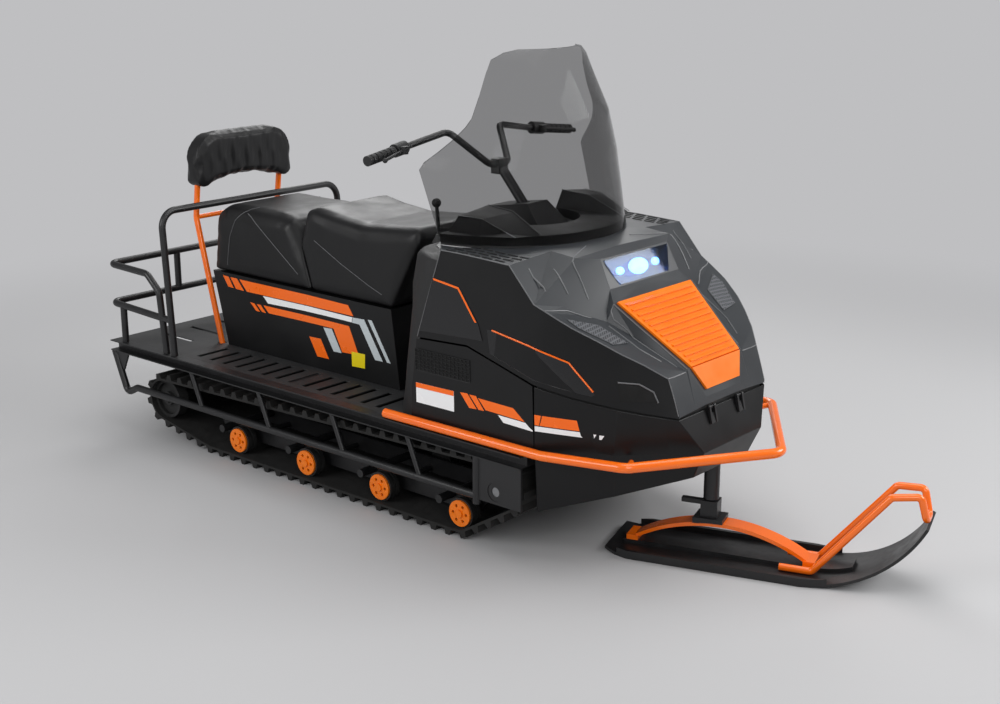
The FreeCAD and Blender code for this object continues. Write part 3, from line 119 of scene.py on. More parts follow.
# Turned steel shafts: brushed round, bright
STEEL = finish("turned_steel", "#8a8b8d", "#a8a9ab", 20, 0.8, 0.02, (0.3, 0.42), Metallic=1.0)
# Sand-cast iron engine mass, seen only through slots
CAST = finish("sand_cast_iron", "#3c3c3d", "#4b4b4c", 20, 2.5, 0.3, (0.7, 0.8), Metallic=0.6)
# Ribbed thermoplastic rubber grips
GRIP = finish("thermoplastic_rubber_grip", "#141415", "#1c1c1d", 20, 1.0, 0.1, (0.6, 0.75))
# Red acrylic tail lens
RED_LENS = finish("acrylic_red", "#8c0a0a", "#b01212", 30, 5.0, 0.05, (0.08, 0.12), Transmission_Weight=0.3)
# Printed vinyl films: flat colour under a thin clear laminate
FILM_ORANGE = finish("vinyl_film_orange", "#ff6a04", "#ff720c", 120, 0.8, 0.01, (0.24, 0.3))
FILM_WHITE = finish("vinyl_film_white", "#f0f2f3", "#f8f9fa", 120, 0.8, 0.01, (0.24, 0.3))
FILM_GREY = finish("vinyl_film_grey", "#bcc5c9", "#c8d0d3", 120, 0.8, 0.01, (0.24, 0.3))
FILM_YELLOW = finish("vinyl_film_yellow", "#e6cf10", "#f0da1c", 120, 0.8, 0.01, (0.24, 0.3))
FILM_DARK = finish("vinyl_film_dark", "#0b0b0d", "#141417", 120, 0.8, 0.01, (0.2, 0.26))
# Painted highlight: a pale line where light catches panel edges, drawn as a thin bright bead
EDGE_HIGHLIGHT = finish("painted_edge_highlight", "#5b5c5e", "#6d6e70", 40, 0.9, 0.01, (0.3, 0.4))
# Piping sewn into the seat covers, greyer than the vinyl
SEAM = finish("polyester_piping_grey", "#4c4d4f", "#5c5d5f", 40, 1.2, 0.05, (0.5, 0.6))
# Painted shade: a matt near-black laid in slots, pockets and vents where shade falls, so they read as shadow
SLOT_PAINTED_SHADE = finish("shadow_slot", "#050505", "#0a0a0a", 40, 2.0, 0.02, (0.8, 0.9))


def leather_vinyl(name, dark, light):
    """Vinyl leather: a pebble grain 1.4 mm across with fine creases, satin, over soft folds."""
    made = finish(name, dark, light, 90, 1.4, 0.10, (0.36, 0.5), Specular_IOR_Level=0.32)
    tree = made.node_tree
    shader = tree.nodes["Principled BSDF"]
    place = add(tree, "ShaderNodeTexCoord").outputs["Object"]
    cell = add(tree, "ShaderNodeTexVoronoi", {"Scale": 1000 / 2.2}, {"Vector": place}, feature="DISTANCE_TO_EDGE")
    skin = add(tree, "ShaderNodeBump", {"Strength": 0.35, "Distance": 0.0002}, {"Height": cell.outputs["Distance"]})
    tall = add(tree, "ShaderNodeMapping", {"Scale": (1.0, 1.0, 0.7)}, {"Vector": place})
    fold = add(tree, "ShaderNodeTexNoise", {"Scale": 1000 / 110, "Detail": 1.0, "Distortion": 0.3},
               {"Vector": tall.outputs["Vector"]})
    bump = add(tree, "ShaderNodeBump", {"Strength": 0.4, "Distance": 0.005},
               {"Height": fold.outputs["Fac"], "Normal": skin.outputs["Normal"]})
    tree.links.new(bump.outputs["Normal"], shader.inputs["Normal"])
    return made


SEAT_VINYL = leather_vinyl("vinyl_leather_black", "#111112", "#19191a")


def tread_material():
    """Textured-coated steel tread plate: raised bars 24 mm long and 10 mm apart under a rough coat."""
    made = finish("tread_plate_coated_steel", "#202122", "#2d2e2f", 90, 2.0, 0.2, (0.5, 0.66))
    tree = made.node_tree
    shader = tree.nodes["Principled BSDF"]
    place = add(tree, "ShaderNodeTexCoord").outputs["Object"]
    wide = add(tree, "ShaderNodeMapping", {"Scale": (1000 / 24, 1000 / 10, 1.0)}, {"Vector": place})
    bars = add(tree, "ShaderNodeTexVoronoi", {"Scale": 1.0, "Randomness": 0.0}, {"Vector": wide.outputs["Vector"]})
    rise = add(tree, "ShaderNodeMapRange", {1: 0.2, 2: 0.42, 3: 1.0, 4: 0.0}, {0: bars.outputs["Distance"]})
    bump = add(tree, "ShaderNodeBump", {"Strength": 0.5, "Distance": 0.001}, {"Height": rise.outputs[0]})
    tree.links.new(bump.outputs["Normal"], shader.inputs["Normal"])
    return made


TREAD = tread_material()


def mesh_material():
    """Woven wire over the air scoops: a 7 mm diagonal mesh, light wire over painted shade where the hollow behind shows
    through.
    """
    made = finish("woven_wire_mesh", "#2e2f31", "#55575a", 30, 1.0, 0.05, (0.4, 0.5), Metallic=0.3)
    tree = made.node_tree
    shader = tree.nodes["Principled BSDF"]
    place = add(tree, "ShaderNodeTexCoord").outputs["Object"]
    turned = add(tree, "ShaderNodeMapping", {"Rotation": (0, 0, math.radians(45)), "Scale": (1000 / 7,) * 3},
                 {"Vector": place})
    cell = add(tree, "ShaderNodeTexVoronoi", {"Scale": 1.0, "Randomness": 0.0}, {"Vector": turned.outputs["Vector"]},
               distance="CHEBYCHEV")
    wire = add(tree, "ShaderNodeMapRange", {1: 0.30, 2: 0.36, 3: 0.0, 4: 1.0}, {0: cell.outputs["Distance"]})
    # The near-black between the wires is painted shade of the hollow behind
    tone = add(tree, "ShaderNodeMix", {6: colour("#060607"), 7: colour("#6a6c70")}, {0: wire.outputs[0]},
               data_type="RGBA")
    tree.links.new(tone.outputs[2], shader.inputs["Base Color"])
    return made


WIRE = mesh_material()


def clear_sheet(name, tint, rough, ior):
    """Clear moulded sheet that tints what is behind it and mirrors softly at a slant."""
    made = bpy.data.materials.new(name)
    made.use_nodes = True
    shader = made.node_tree.nodes["Principled BSDF"]
    shader.inputs["Base Color"].default_value = colour(tint)
    shader.inputs["Roughness"].default_value = rough
    shader.inputs["IOR"].default_value = ior
    shader.inputs["Transmission Weight"].default_value = 1.0
    return made


# Smoke-tinted polycarbonate, 4 mm: two passes through it leave about half the light
SMOKE = clear_sheet("smoked_polycarbonate", "#aeaeae", 0.05, 1.1)
# Clear lamp lens with a faint blue cast
LENS = clear_sheet("clear_polycarbonate_lens", "#b9cde6", 0.03, 1.3)


def lamp_material():
    """The lit reflector: a cold white core that falls off to blue."""
    made = bpy.data.materials.new("lit_led_reflector")
    made.use_nodes = True
    shader = made.node_tree.nodes["Principled BSDF"]
    shader.inputs["Base Color"].default_value = colour("#cfe4ff")
    shader.inputs["Emission Color"].default_value = colour("#58a8ff")
    shader.inputs["Emission Strength"].default_value = 7.0
    return made


LIT = lamp_material()
# Chromed reflector bucket, toned blue-black as the unlit parts of a lamp look
LENS_BUCKET = finish("vacuum_metallised_reflector", "#0f2138", "#1c3654", 40, 4.0, 0.02, (0.12, 0.2), Metallic=0.8)

NODE_FINISH = {
    "chassis_spine": FRAME_BLACK, "deck_frame": FRAME_BLACK, "cargo_deck": TREAD, "running_board_right": TREAD,
    "running_board_left": TREAD, "side_guard_right": FRAME_BLACK, "side_guard_left": FRAME_BLACK,
    "tow_hitch": FRAME_BLACK, "tail_lamps": RED_LENS, "rear_rack": FRAME_BLACK, "backrest_frame": TUBE_ORANGE,
    "backrest_pad": SEAT_VINYL, "seat_base": BODY_ABS, "rear_seat": SEAT_VINYL, "rider_seat": SEAT_VINYL,
    "track_right": TRACK_RUBBER, "track_left": TRACK_RUBBER, "bogie_right": FRAME_BLACK, "bogie_left": FRAME_BLACK,
    "road_wheels_right": TYRE, "road_wheels_left": TYRE, "wheel_caps_right": GRILLE_PP,
    "wheel_caps_left": GRILLE_PP, "drive_axle": STEEL, "rear_idlers": TYRE, "engine_block": CAST,
    "belly_pan": BODY_ABS, "side_panel_right": BODY_ABS, "side_panel_left": BODY_ABS, "side_vents": TRIM_ABS,
    "knee_panel": TRIM_ABS, "console": TRIM_ABS, "hood_hinges": FRAME_BLACK, "front_bumper": TUBE_ORANGE,
    "column_mount": FRAME_BLACK, "gear_lever": TRIM_ABS, "ski_head": FRAME_BLACK, "hood": HOOD_ABS_PAINTED_LIT,
    "grille": GRILLE_PP, "headlamp": LENS, "windscreen": SMOKE, "steering_column": FRAME_BLACK,
    "handlebar": FRAME_BLACK, "grips": GRIP, "hand_controls": TRIM_ABS, "ski_knuckle": FRAME_BLACK,
    "ski_spring": TUBE_ORANGE, "ski": SKI_PE, "ski_loop": TUBE_ORANGE,
}
for name, made in NODE_FINISH.items():
    materials = nodes[name].data.materials
    materials.clear()
    materials.append(made)


# Making pieces, where points closer than this many metres become one

MERGE = 1e-5


def piece(bm, name, body, material, sharp=30.0):
    """A finished mesh as an object that rides on a body, smooth but for its creases."""
    bmesh.ops.remove_doubles(bm, verts=bm.verts, dist=MERGE)
    bmesh.ops.recalc_face_normals(bm, faces=bm.faces)
    for face in bm.faces:
        face.smooth = True
    for edge in bm.edges:
        if len(edge.link_faces) == 2 and edge.calc_face_angle(0.0) > math.radians(sharp):
            edge.smooth = False
    mesh = bpy.data.meshes.new(name)
    bm.to_mesh(mesh)
    bm.free()
    made = bpy.data.objects.new(name, mesh)
    bpy.context.scene.collection.objects.link(made)
    mesh.materials.append(material)
    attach(made, body)
    return made


def drawn_out(bm, rows):
    """Draws a first row of points out through the further rows."""
    row = [bm.verts.new(point) for point in rows[0]]
    edges = [bm.edges.new(pair) for pair in zip(row, row[1:])]
    for points in rows[1:]:
        made = bmesh.ops.extrude_edge_only(bm, edges=edges)["geom"]
        fresh = {v for v in made if isinstance(v, bmesh.types.BMVert)}
        edges = [e for e in made if isinstance(e, bmesh.types.BMEdge) and all(v in fresh for v in e.verts)]
        row = [next(e.other_vert(vert) for e in vert.link_edges if e.other_vert(vert) in fresh) for vert in row]
        for vert, point in zip(row, points):
            vert.co = point


def skin(rows):
    """A surface through rows of points."""
    bm = bmesh.new()
    drawn_out(bm, rows)
    return bm


def softened(made, width_mm, segments, bend_deg):
    """Rounds those edges of a piece that bend by more than an angle."""
    soften = made.modifiers.new("edges", "BEVEL")
    soften.width = width_mm / 1000
    soften.segments = segments
    soften.limit_method = "ANGLE"
    soften.angle_limit = math.radians(bend_deg)


def form_of(made):
    """A made piece's skin, as a form that other pieces are laid on."""
    return BVHTree.FromPolygons([v.co for v in made.data.vertices], [f.vertices for f in made.data.polygons])


def walled(bm, wall_mm, inwards=True):
    """The surface given its wall."""
    bmesh.ops.remove_doubles(bm, verts=bm.verts, dist=MERGE)
    bmesh.ops.recalc_face_normals(bm, faces=bm.faces)
    bmesh.ops.solidify(bm, geom=bm.faces[:], thickness=wall_mm / 1000 * (1 if inwards else -1))
    return bm


def both_ways(half):
    """A half row, outermost point first, completed with its mirror image."""
    right = [at(x, -y, z) for x, y, z in half]
    return right + [at(x, y, z) for x, y, z in reversed(half) if y > 0.01]


# The cowl: rows from the rear forwards, each as sill, crease, foot of the raised part, its top edge, middle
HOOD_ROWS = [
    [(1588, 430, 633), (1693, 431, 920), (1640, 392, 921), (1512, 200, 914), (1510, 0, 914)],
    [(1795, 430, 643), (1795, 433, 920), (1795, 400, 921), (1795, 200, 926), (1795, 0, 928)],
    [(1963, 430, 596), (1963, 434, 913), (1963, 433, 913.5), (1963, 240, 924), (1963, 0, 927)],
    [(2055, 430, 570), (2055, 432, 810), (2055, 431, 811), (2055, 240, 915), (2055, 0, 921)],
    [(2096, 420, 562), (2096, 422, 791), (2096, 352, 797), (2094, 172, 905), (2094, 0, 905)],
    [(2134, 409, 555), (2134, 412, 772), (2134, 290, 764), (2136, 178, 822), (2136, 0, 822)],
    [(2168, 398, 548), (2168, 402, 755), (2168, 234, 741), (2170, 204, 787), (2170, 0, 787)],
    [(2241, 366, 535), (2241, 363, 717), (2241, 196, 699), (2241, 186, 733.5), (2241, 0, 733.5)],
    [(2289, 341, 526), (2289, 331, 686), (2289, 182, 671), (2289, 171, 697), (2289, 0, 697)],
    [(2344, 303, 515), (2344, 285, 651), (2344, 164, 641), (2344, 154, 656), (2344, 0, 656)],
    [(2394, 263, 505), (2394, 235, 610), (2394, 147, 612), (2394, 142, 619), (2394, 0, 619)],
    [(2430, 234, 499), (2430, 230, 507), (2430, 150, 514), (2430, 94, 532), (2430, 0, 532)],
    [(2431, 233, 498), (2432, 226, 501), (2432, 150, 505), (2432, 94, 508), (2432, 0, 508)],
]
SILL = [row[0] for row in HOOD_ROWS[:-1]]
# Height of the cowl's foot on the running boards
COWL_FOOT = 343.6
NOTCH_HALF, NOTCH_FRONT = 150, 1832
LAMP_HALF, LAMP_REAR, LAMP_FRONT, LAMP_FOOT, LAMP_TOP = 172, 2094.5, 2135.5, 822.5, 904.5
# Faces that look this far sideways, out past the raised middle, carry the plain black of the sides; the rest of the
# hood keeps the painted light
SIDE_TURN, RAISED_HALF = 0.5, 230
# Edges that bend by more than this many degrees are creases, and rounded
HOOD_BEND, BELLY_BEND = 16.0, 12.0


def hood():
    """The tilting hood: a thin shell with its notch for the column and its lamp opening."""
    bm = skin([both_ways(row) for row in HOOD_ROWS])
    bmesh.ops.remove_doubles(bm, verts=bm.verts, dist=2e-3)
    quads = [f for f in bm.faces if len(f.verts) == 4]
    bmesh.ops.triangulate(bm, faces=quads, quad_method="LONG_EDGE")
    for point, normal in (((0, NOTCH_HALF / 1000, 0), (0, 1, 0)), ((0, -NOTCH_HALF / 1000, 0), (0, 1, 0)),
                          (at(NOTCH_FRONT, 0, 0), (1, 0, 0))):
        bmesh.ops.bisect_plane(bm, geom=bm.verts[:] + bm.edges[:] + bm.faces[:], plane_co=point, plane_no=normal)
    gone = []
    for face in bm.faces:
        x, y, z = face.calc_center_median()
        mm = x * 1000 + MIDDLE
        in_notch = abs(y) < NOTCH_HALF / 1000 and mm < NOTCH_FRONT
        in_lamp = abs(y) < LAMP_HALF / 1000 and LAMP_REAR < mm < LAMP_FRONT and LAMP_FOOT < z * 1000 < LAMP_TOP
        if in_notch or in_lamp:
            gone.append(face)
    bmesh.ops.delete(bm, geom=gone, context="FACES")
    walled(bm, 4.0)
    made = piece(bm, "hood_shell", "hood_lid", HOOD_ABS_PAINTED_LIT, sharp=HOOD_BEND)
    softened(made, 4.0, 3, HOOD_BEND)
    made.data.materials.append(BODY_ABS)
    # Front and top faces keep the painted-light graphite; sideways faces switch to the plain black
    for face in made.data.polygons:
        if abs(face.normal.y) > SIDE_TURN and abs(face.center.y) > RAISED_HALF / 1000:
            face.material_index = 1
    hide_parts("hood")
    return made


hood_shell = hood()
HOOD_FORM = form_of(hood_shell)
# Points are looked up from a little outside, away from a line at this height in metres
CORE_HEIGHT, STEP_OUT = 0.55, 0.006


def on_form(form, point, lift_mm):
    """The nearest place on a form's outer skin, lifted a little off it."""
    outward = Vector((0.1, point.y, point.z - CORE_HEIGHT)).normalized()
    place, normal = form.find_nearest(point + outward * STEP_OUT)[:2]
    return place + normal * lift_mm / 1000


def side_panel(side):
    """The fixed cowl side beside the engine, its foot inside the bumper."""
    top = [(1586, 430, 627), (1795, 430, 637), (1963, 430, 590), (2049, 430, 565)]
    foot = [(x, 421, COWL_FOOT) for x in (1550, 1795, 1963, 2049)]
    rows = []
    for share in (0.0, 0.4, 1.0):
        row = []
        for (x0, y0, z0), (x1, y1, z1) in zip(foot, top):
            ahead = (x1 - x0) * share ** 1.8
            row.append(at(x0 + ahead, side * (y0 + (y1 - y0) * share), z0 + (z1 - z0) * share))
        rows.append(row)
    bm = skin(rows)
    bmesh.ops.solidify(bm, geom=bm.faces[:], thickness=0.005 * side)
    label = "right" if side == RIGHT else "left"
    made = piece(bm, "cowl_side_" + label, "chassis", BODY_ABS)
    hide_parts("side_panel_" + label)


for side in (RIGHT, LEFT):
    side_panel(side)

BELLY_CREASE = [(2050, 421), (2095, 407), (2137, 393), (2172, 382), (2240, 360), (2285, 346), (2340, 290),
                (2400, 229), (2471, 157)]
# The belly hangs this far under the hood's sill, and is creased at one height
SILL_GAP, BELLY_CREASE_Z = 6, 383
BELLY_FOOT = [(2050, 404), (2090, 384), (2125, 366), (2160, 349), (2220, 319), (2257, 300), (2310, 255),
              (2370, 203), (2432, 150)]
# Its foot starts at this height and rises by this much for each mm forwards; a slot runs along its middle
FOOT_Z, FOOT_RISE, SLOT_HALF = 166, 0.34, 34


def belly():
    """The lower nose, in three bands under the hood's sill, open where the beam and kingpin pass."""
    halves = []
    for side in (RIGHT, LEFT):
        top = [at(x, side * y, z - SILL_GAP) for x, y, z in SILL[3:]]
        crease = [at(x, side * y, BELLY_CREASE_Z) for x, y in BELLY_CREASE]
        foot = [at(x, side * y, FOOT_Z + FOOT_RISE * (x - BELLY_FOOT[0][0])) for x, y in BELLY_FOOT]
        slot = [at(x, side * SLOT_HALF, FOOT_Z + FOOT_RISE * (x - BELLY_FOOT[0][0])) for x, y in BELLY_FOOT]
        halves.append((top, crease, foot, slot))
    rows = []
    for right, left in zip(*halves):
        rows.append(right + left[::-1])
    bm = skin(rows)
    gone = [f for f in bm.faces if abs(f.calc_center_median().y) < 0.02 and f.calc_center_median().z < 0.297]
    bmesh.ops.delete(bm, geom=gone, context="FACES")
    walled(bm, 4.0)
    made = piece(bm, "belly_shell", "chassis", BODY_ABS, sharp=BELLY_BEND)
    softened(made, 3.0, 2, BELLY_BEND)
    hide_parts("belly_pan")


belly()


def knee_wall():
    """The rear wall of the engine bay, which sweeps forwards at its sides to meet the cowl."""
    levels = [
        (COWL_FOOT, [(1546, 414), (1470, 372), (1402, 300), (1366, 200), (1362, 0)]),
        (600, [(1578, 414), (1520, 392), (1470, 320), (1440, 200), (1438, 0)]),
        (866, [(1668, 414), (1600, 398), (1500, 330), (1470, 220), (1466, 0)]),
        (878, [(1672, 414), (1606, 396), (1508, 326), (1480, 218), (1476, 0)]),
        (880, [(1690, 412), (1660, 396), (1600, 326), (1540, 218), (1504, 0)]),
    ]
    rows = [both_ways([(x, y, z) for x, y in plan]) for z, plan in levels]
    bm = skin(rows)
    bmesh.ops.subdivide_edges(bm, edges=bm.edges[:], cuts=2, use_grid_fill=True, smooth=0.6)
    walled(bm, 4.0)
    made = piece(bm, "knee_wall", "chassis", TRIM_ABS, sharp=40.0)
    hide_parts("knee_panel")


knee_wall()


# Windscreen: height, front, edge x, edge half width, as one arc in plan at each height
SCREEN = [(930, 1972, 1648, 383), (955, 1965, 1640, 385), (1060, 1946, 1606, 393), (1145, 1928, 1578, 400),
          (1168, 1926, 1592, 393), (1200, 1921, 1628, 370), (1240, 1915, 1668, 342), (1275, 1911, 1692, 316),
          (1300, 1908, 1702, 300), (1365, 1880, 1703, 266), (1428, 1850, 1706, 240), (1468, 1826, 1714, 226),
          (1488, 1812, 1732, 190), (1496, 1806, 1748, 140)]


def arc_row(z, front, edge, half, steps=24):
    """Points round a circular arc in plan, from the right edge over the front to the left."""
    depth = front - edge
    radius = (depth * depth + half * half) / (2 * depth)
    centre = front - radius
    reach = math.atan2(half, edge - centre)
    row = []
    for index in range(steps + 1):
        turn = -reach + 2 * reach * index / steps
        row.append(at(centre + radius * math.cos(turn), radius * math.sin(turn), z))
    return row


def windscreen():
    """The wrapped screen of smoked sheet with its low wings."""
    bm = skin([arc_row(*level) for level in SCREEN])
    walled(bm, 3.6)
    made = piece(bm, "screen_sheet", "hood_lid", SMOKE, sharp=60.0)
    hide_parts("windscreen")


windscreen()


# Padded seats and backrest: the covers' mesh size in metres, their air pressure and frames

COVER_MESH, COVER_PRESSURE, COVER_FRAMES = 0.006, 4.0, 12
# How far in metres a cover may pass its solid's box, on the low and on the high faces
PAST_LOW, PAST_HIGH = 0.004, 0.006


def cushion(node, name, shrink, cap_mm, taut_rounds, folds_mm=0.0, body="chassis"):
    """The padded form of a seat solid, blown up a little under its cover, with folds where it is gathered."""
    source = nodes[node]
    bm = bmesh.new()
    bm.from_mesh(source.data)
    bmesh.ops.remove_doubles(bm, verts=bm.verts, dist=MERGE)
    low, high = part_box(node)
    middle = (low + high) / 2
    size = high - low
    for vert in bm.verts:
        for axis in range(3):
            vert.co[axis] = middle[axis] + (vert.co[axis] - middle[axis]) * (1 - 2 * shrink / 1000 / size[axis])
    mesh = bpy.data.meshes.new(name)
    bm.to_mesh(mesh)
    bm.free()
    made = bpy.data.objects.new(name, mesh)
    bpy.context.scene.collection.objects.link(made)
    remesh = made.modifiers.new("remesh", "REMESH")
    remesh.mode = "VOXEL"
    remesh.voxel_size = COVER_MESH
    remesh.use_smooth_shade = True
    bpy.context.view_layer.objects.active = made
    made.select_set(True)
    bpy.ops.object.modifier_apply(modifier="remesh")
    start = [v.co.copy() for v in made.data.vertices]
    cloth = made.modifiers.new("cloth", "CLOTH")
    cloth.settings.quality = 5
    cloth.settings.use_pressure = True
    cloth.settings.uniform_pressure_force = COVER_PRESSURE
    cloth.settings.effector_weights.gravity = 0.0
    for step in range(1, COVER_FRAMES + 1):
        bpy.context.scene.frame_set(step)
    bpy.ops.object.modifier_apply(modifier="cloth")
    bpy.context.scene.frame_set(1)
    for vert, place in zip(made.data.vertices, start):
        move = vert.co - place
        if move.length > cap_mm / 1000:
            vert.co = place + move.normalized() * (cap_mm / 1000)
    if taut_rounds:
        bm = bmesh.new()
        bm.from_mesh(made.data)
        for step in range(taut_rounds):
            bmesh.ops.smooth_vert(bm, verts=bm.verts, factor=0.5, use_axis_x=True, use_axis_y=True, use_axis_z=True)
        bm.to_mesh(made.data)
        bm.free()
    for vert in made.data.vertices:
        for axis in range(3):
            vert.co[axis] = min(max(vert.co[axis], low[axis] - PAST_LOW), high[axis] + PAST_HIGH)
    if folds_mm:
        made.data.update()
        for vert in made.data.vertices:
            along = vert.co.y * 1000
            lean = (vert.co.z - middle.z) * 1000
            wave = math.sin(along / 9.5 + 0.9 * math.sin(lean / 34)) + 0.6 * math.sin(along / 5.3 - lean / 60)
            share = max(0.0, 1.0 - abs(lean) / 130) * max(0.0, 1.0 - (abs(along) / 215) ** 4)
            vert.co += vert.normal * (folds_mm / 1000 * wave * share - folds_mm / 1000)
    finer = made.modifiers.new("finer", "SUBSURF")
    finer.levels = 1
    finer.render_levels = 1
    made.data.materials.clear()
    made.data.materials.append(SEAT_VINYL)
    made.select_set(False)
    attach(made, body)
    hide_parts(node)
    return made


rear_cushion = cushion("rear_seat", "rear_cushion", 2.5, 3.0, 6)
rider_cushion = cushion("rider_seat", "rider_cushion", 2.5, 3.0, 6)
cushion("backrest_pad", "rest_cushion", 6.0, 7.0, 1, 2.6)


# Films and plates on flat panels

def cowl_side_y(z):
    """How far out the cowl side's leaning wall stands at a height."""
    return 421 + 9 * (z - COWL_FOOT) / 290


def film(name, shapes, y, material, body, thick_mm=0.5):
    """Thin printed films on a side panel, drawn as outlines in x and z; y may follow the height."""
    bm = bmesh.new()
    for side in (RIGHT, LEFT):
        for outline in shapes:
            out = [y(z) if callable(y) else y for x, z in outline]
            corners = [bm.verts.new(at(x, side * far, z)) for (x, z), far in zip(outline, out)]
            face = bm.faces.new(corners)
            made = bmesh.ops.extrude_face_region(bm, geom=[face])["geom"]
            moved = [v for v in made if isinstance(v, bmesh.types.BMVert)]
            bmesh.ops.translate(bm, verts=moved, vec=(0, side * thick_mm / 1000, 0))
    piece(bm, name, body, material)


SEAT_SIDE = 200.3
film("seat_film_orange", [
    [(378, 606), (409, 605), (436, 566), (406, 567)],
    [(420, 605), (456, 605), (494, 564), (450, 565)],
    [(471, 604), (833, 604), (1042, 600), (1067, 565), (831, 566), (510, 564)],
    [(526, 527), (549, 526), (579, 499), (557, 500)],
    [(562, 526), (584, 526), (612, 500), (590, 501)],
    [(599, 527), (829, 528), (1044, 526), (1088, 430), (1007, 426), (966, 504), (834, 504), (627, 502)],
    [(840, 453), (899, 455), (938, 388), (879, 387)],
], SEAT_SIDE, FILM_ORANGE, "chassis")
film("seat_film_white", [
    [(599, 562), (837, 563), (1062, 560), (1058, 542), (948, 543), (806, 543), (625, 538)],
], SEAT_SIDE, FILM_WHITE, "chassis")
film("seat_film_grey", [
    [(1064, 560), (1119, 562), (1205, 429), (1168, 428), (1096, 541), (1060, 541)],
    [(1137, 565), (1156, 565), (1242, 429), (1225, 430)],
    [(915, 499), (957, 501), (1003, 422), (963, 421)],
], SEAT_SIDE, FILM_GREY, "chassis")
film("seat_plate_yellow", [[(1054, 437), (1120, 439), (1118, 388), (1055, 385)]], SEAT_SIDE + 0.7, FILM_YELLOW,
     "chassis")
film("cowl_film_orange", [
    [(1762, 488), (1792, 490), (1828, 447), (1798, 445)],
    [(1800, 488), (1826, 489), (1858, 448), (1836, 447)],
    [(1835, 484), (2047, 480), (2047, 447), (1864, 452)],
], lambda z: cowl_side_y(z) + 0.3, FILM_ORANGE, "chassis")
film("cowl_film_white", [[(1913, 447), (2047, 445), (2047, 424), (1934, 427)]], lambda z: cowl_side_y(z) + 0.3,
     FILM_WHITE, "chassis")
film("cowl_plate_blank", [[(1577, 483), (1736, 486), (1735, 419), (1576, 418)]], lambda z: cowl_side_y(z) + 0.3,
     FILM_WHITE, "chassis")
film("cowl_plate_header", [[(1577, 483), (1736, 486), (1735, 470), (1577, 467)]], lambda z: cowl_side_y(z) + 0.9,
     FILM_ORANGE, "chassis")
HOOD_SIDE = 432.0
film("hood_film_dark", [
    [(1660, 832), (1768, 818), (1842, 716), (1858, 668), (1600, 655)],
], HOOD_SIDE, FILM_DARK, "hood_lid")
film("hood_film_line", [
    [(1662, 830), (1765, 817), (1836, 720), (1828, 720), (1761, 811), (1663, 824)],
], HOOD_SIDE + 0.6, FILM_ORANGE, "hood_lid")


# Details of the cowl

def both_sides(lines, form=None, lift_mm=0.0):
    """Lines drawn on the right side, with their mirror images, laid on a form's skin where one is given."""
    made = []
    for line in lines:
        for side in (RIGHT, LEFT):
            points = [at(x, side * abs(y), z) for x, y, z in line]
            if form:
                close = []
                for start, end in zip(points, points[1:]):
                    steps = max(2, int((end - start).length / 0.025))
                    close += [start.lerp(end, step / steps) for step in range(steps)]
                points = [on_form(form, point, lift_mm) for point in close + points[-1:]]
            made.append(points)
    return made


def beads(name, lines, radius_mm, body, material):
    """Thin rounded ridges along edges, as one mesh."""
    curve = bpy.data.curves.new(name + "_line", "CURVE")
    curve.dimensions = "3D"
    curve.bevel_depth = radius_mm / 1000
    curve.bevel_resolution = 1
    curve.use_fill_caps = True
    for line in lines:
        spline = curve.splines.new("POLY")
        spline.points.add(len(line) - 1)
        for point, place in zip(spline.points, line):
            point.co = (*place, 1.0)
    holder = bpy.data.objects.new(name + "_line", curve)
    mesh = bpy.data.meshes.new_from_object(holder)
    bpy.data.objects.remove(holder)
    bm = bmesh.new()
    bm.from_mesh(mesh)
    bpy.data.meshes.remove(mesh)
    piece(bm, name, body, material, sharp=50.0)


CREASE = [row[1] for row in HOOD_ROWS[:-1]]
# Painted highlights along the hood's creases and edges
beads("hood_edge_highlights", both_sides([
    CREASE,
    [(1589, 430.5, 634), (1691, 431.5, 918)],
    [(2394, 235, 611), (2394, 149, 613)],
    [(2168, 204, 788), (2169, 215, 768), (2184, 219, 746), (2369, 160, 624)],
    [(2170, 204.5, 788), (2394, 143, 620)],
], HOOD_FORM, 0.2), 1.7, "hood_lid", EDGE_HIGHLIGHT)
# The grooves drawn as ridges in the pale painted highlight
beads("hood_grooves", both_sides([
    [(2000, 365, 908), (2057, 376, 838)],
    [(2021, 312, 914), (2093, 316, 826)],
    [(1994, 111, 926), (2054, 256, 913), (2130, 261, 808)],
    [(2186, 242, 734), (2285, 228, 683), (2344, 197, 648)],
    [(2090, 425, 800), (2112, 341, 786), (2148, 275, 760)],
], HOOD_FORM, 0.3), 2.2, "hood_lid", EDGE_HIGHLIGHT)


def plates(name, outlines, lift_mm, body, material, cuts=0):
    """Thin plates laid on the hood's skin, each bent to it, on both sides."""
    bm = bmesh.new()
    for side in (RIGHT, LEFT):
        for outline in outlines:
            row = [bm.verts.new(at(x, side * abs(y), z)) for x, y, z in outline]
            bm.faces.new(row if side == RIGHT else row[::-1])
    if cuts:
        bmesh.ops.triangulate(bm, faces=bm.faces[:])
        bmesh.ops.subdivide_edges(bm, edges=bm.edges[:], cuts=cuts, use_grid_fill=True)
    grown = bmesh.ops.extrude_face_region(bm, geom=bm.faces[:])["geom"]
    upper = {v for v in grown if isinstance(v, bmesh.types.BMVert)}
    for vert in bm.verts:
        vert.co = on_form(HOOD_FORM, vert.co, lift_mm + (1.0 if vert in upper else 0.0))
    piece(bm, name, body, material, sharp=50.0)


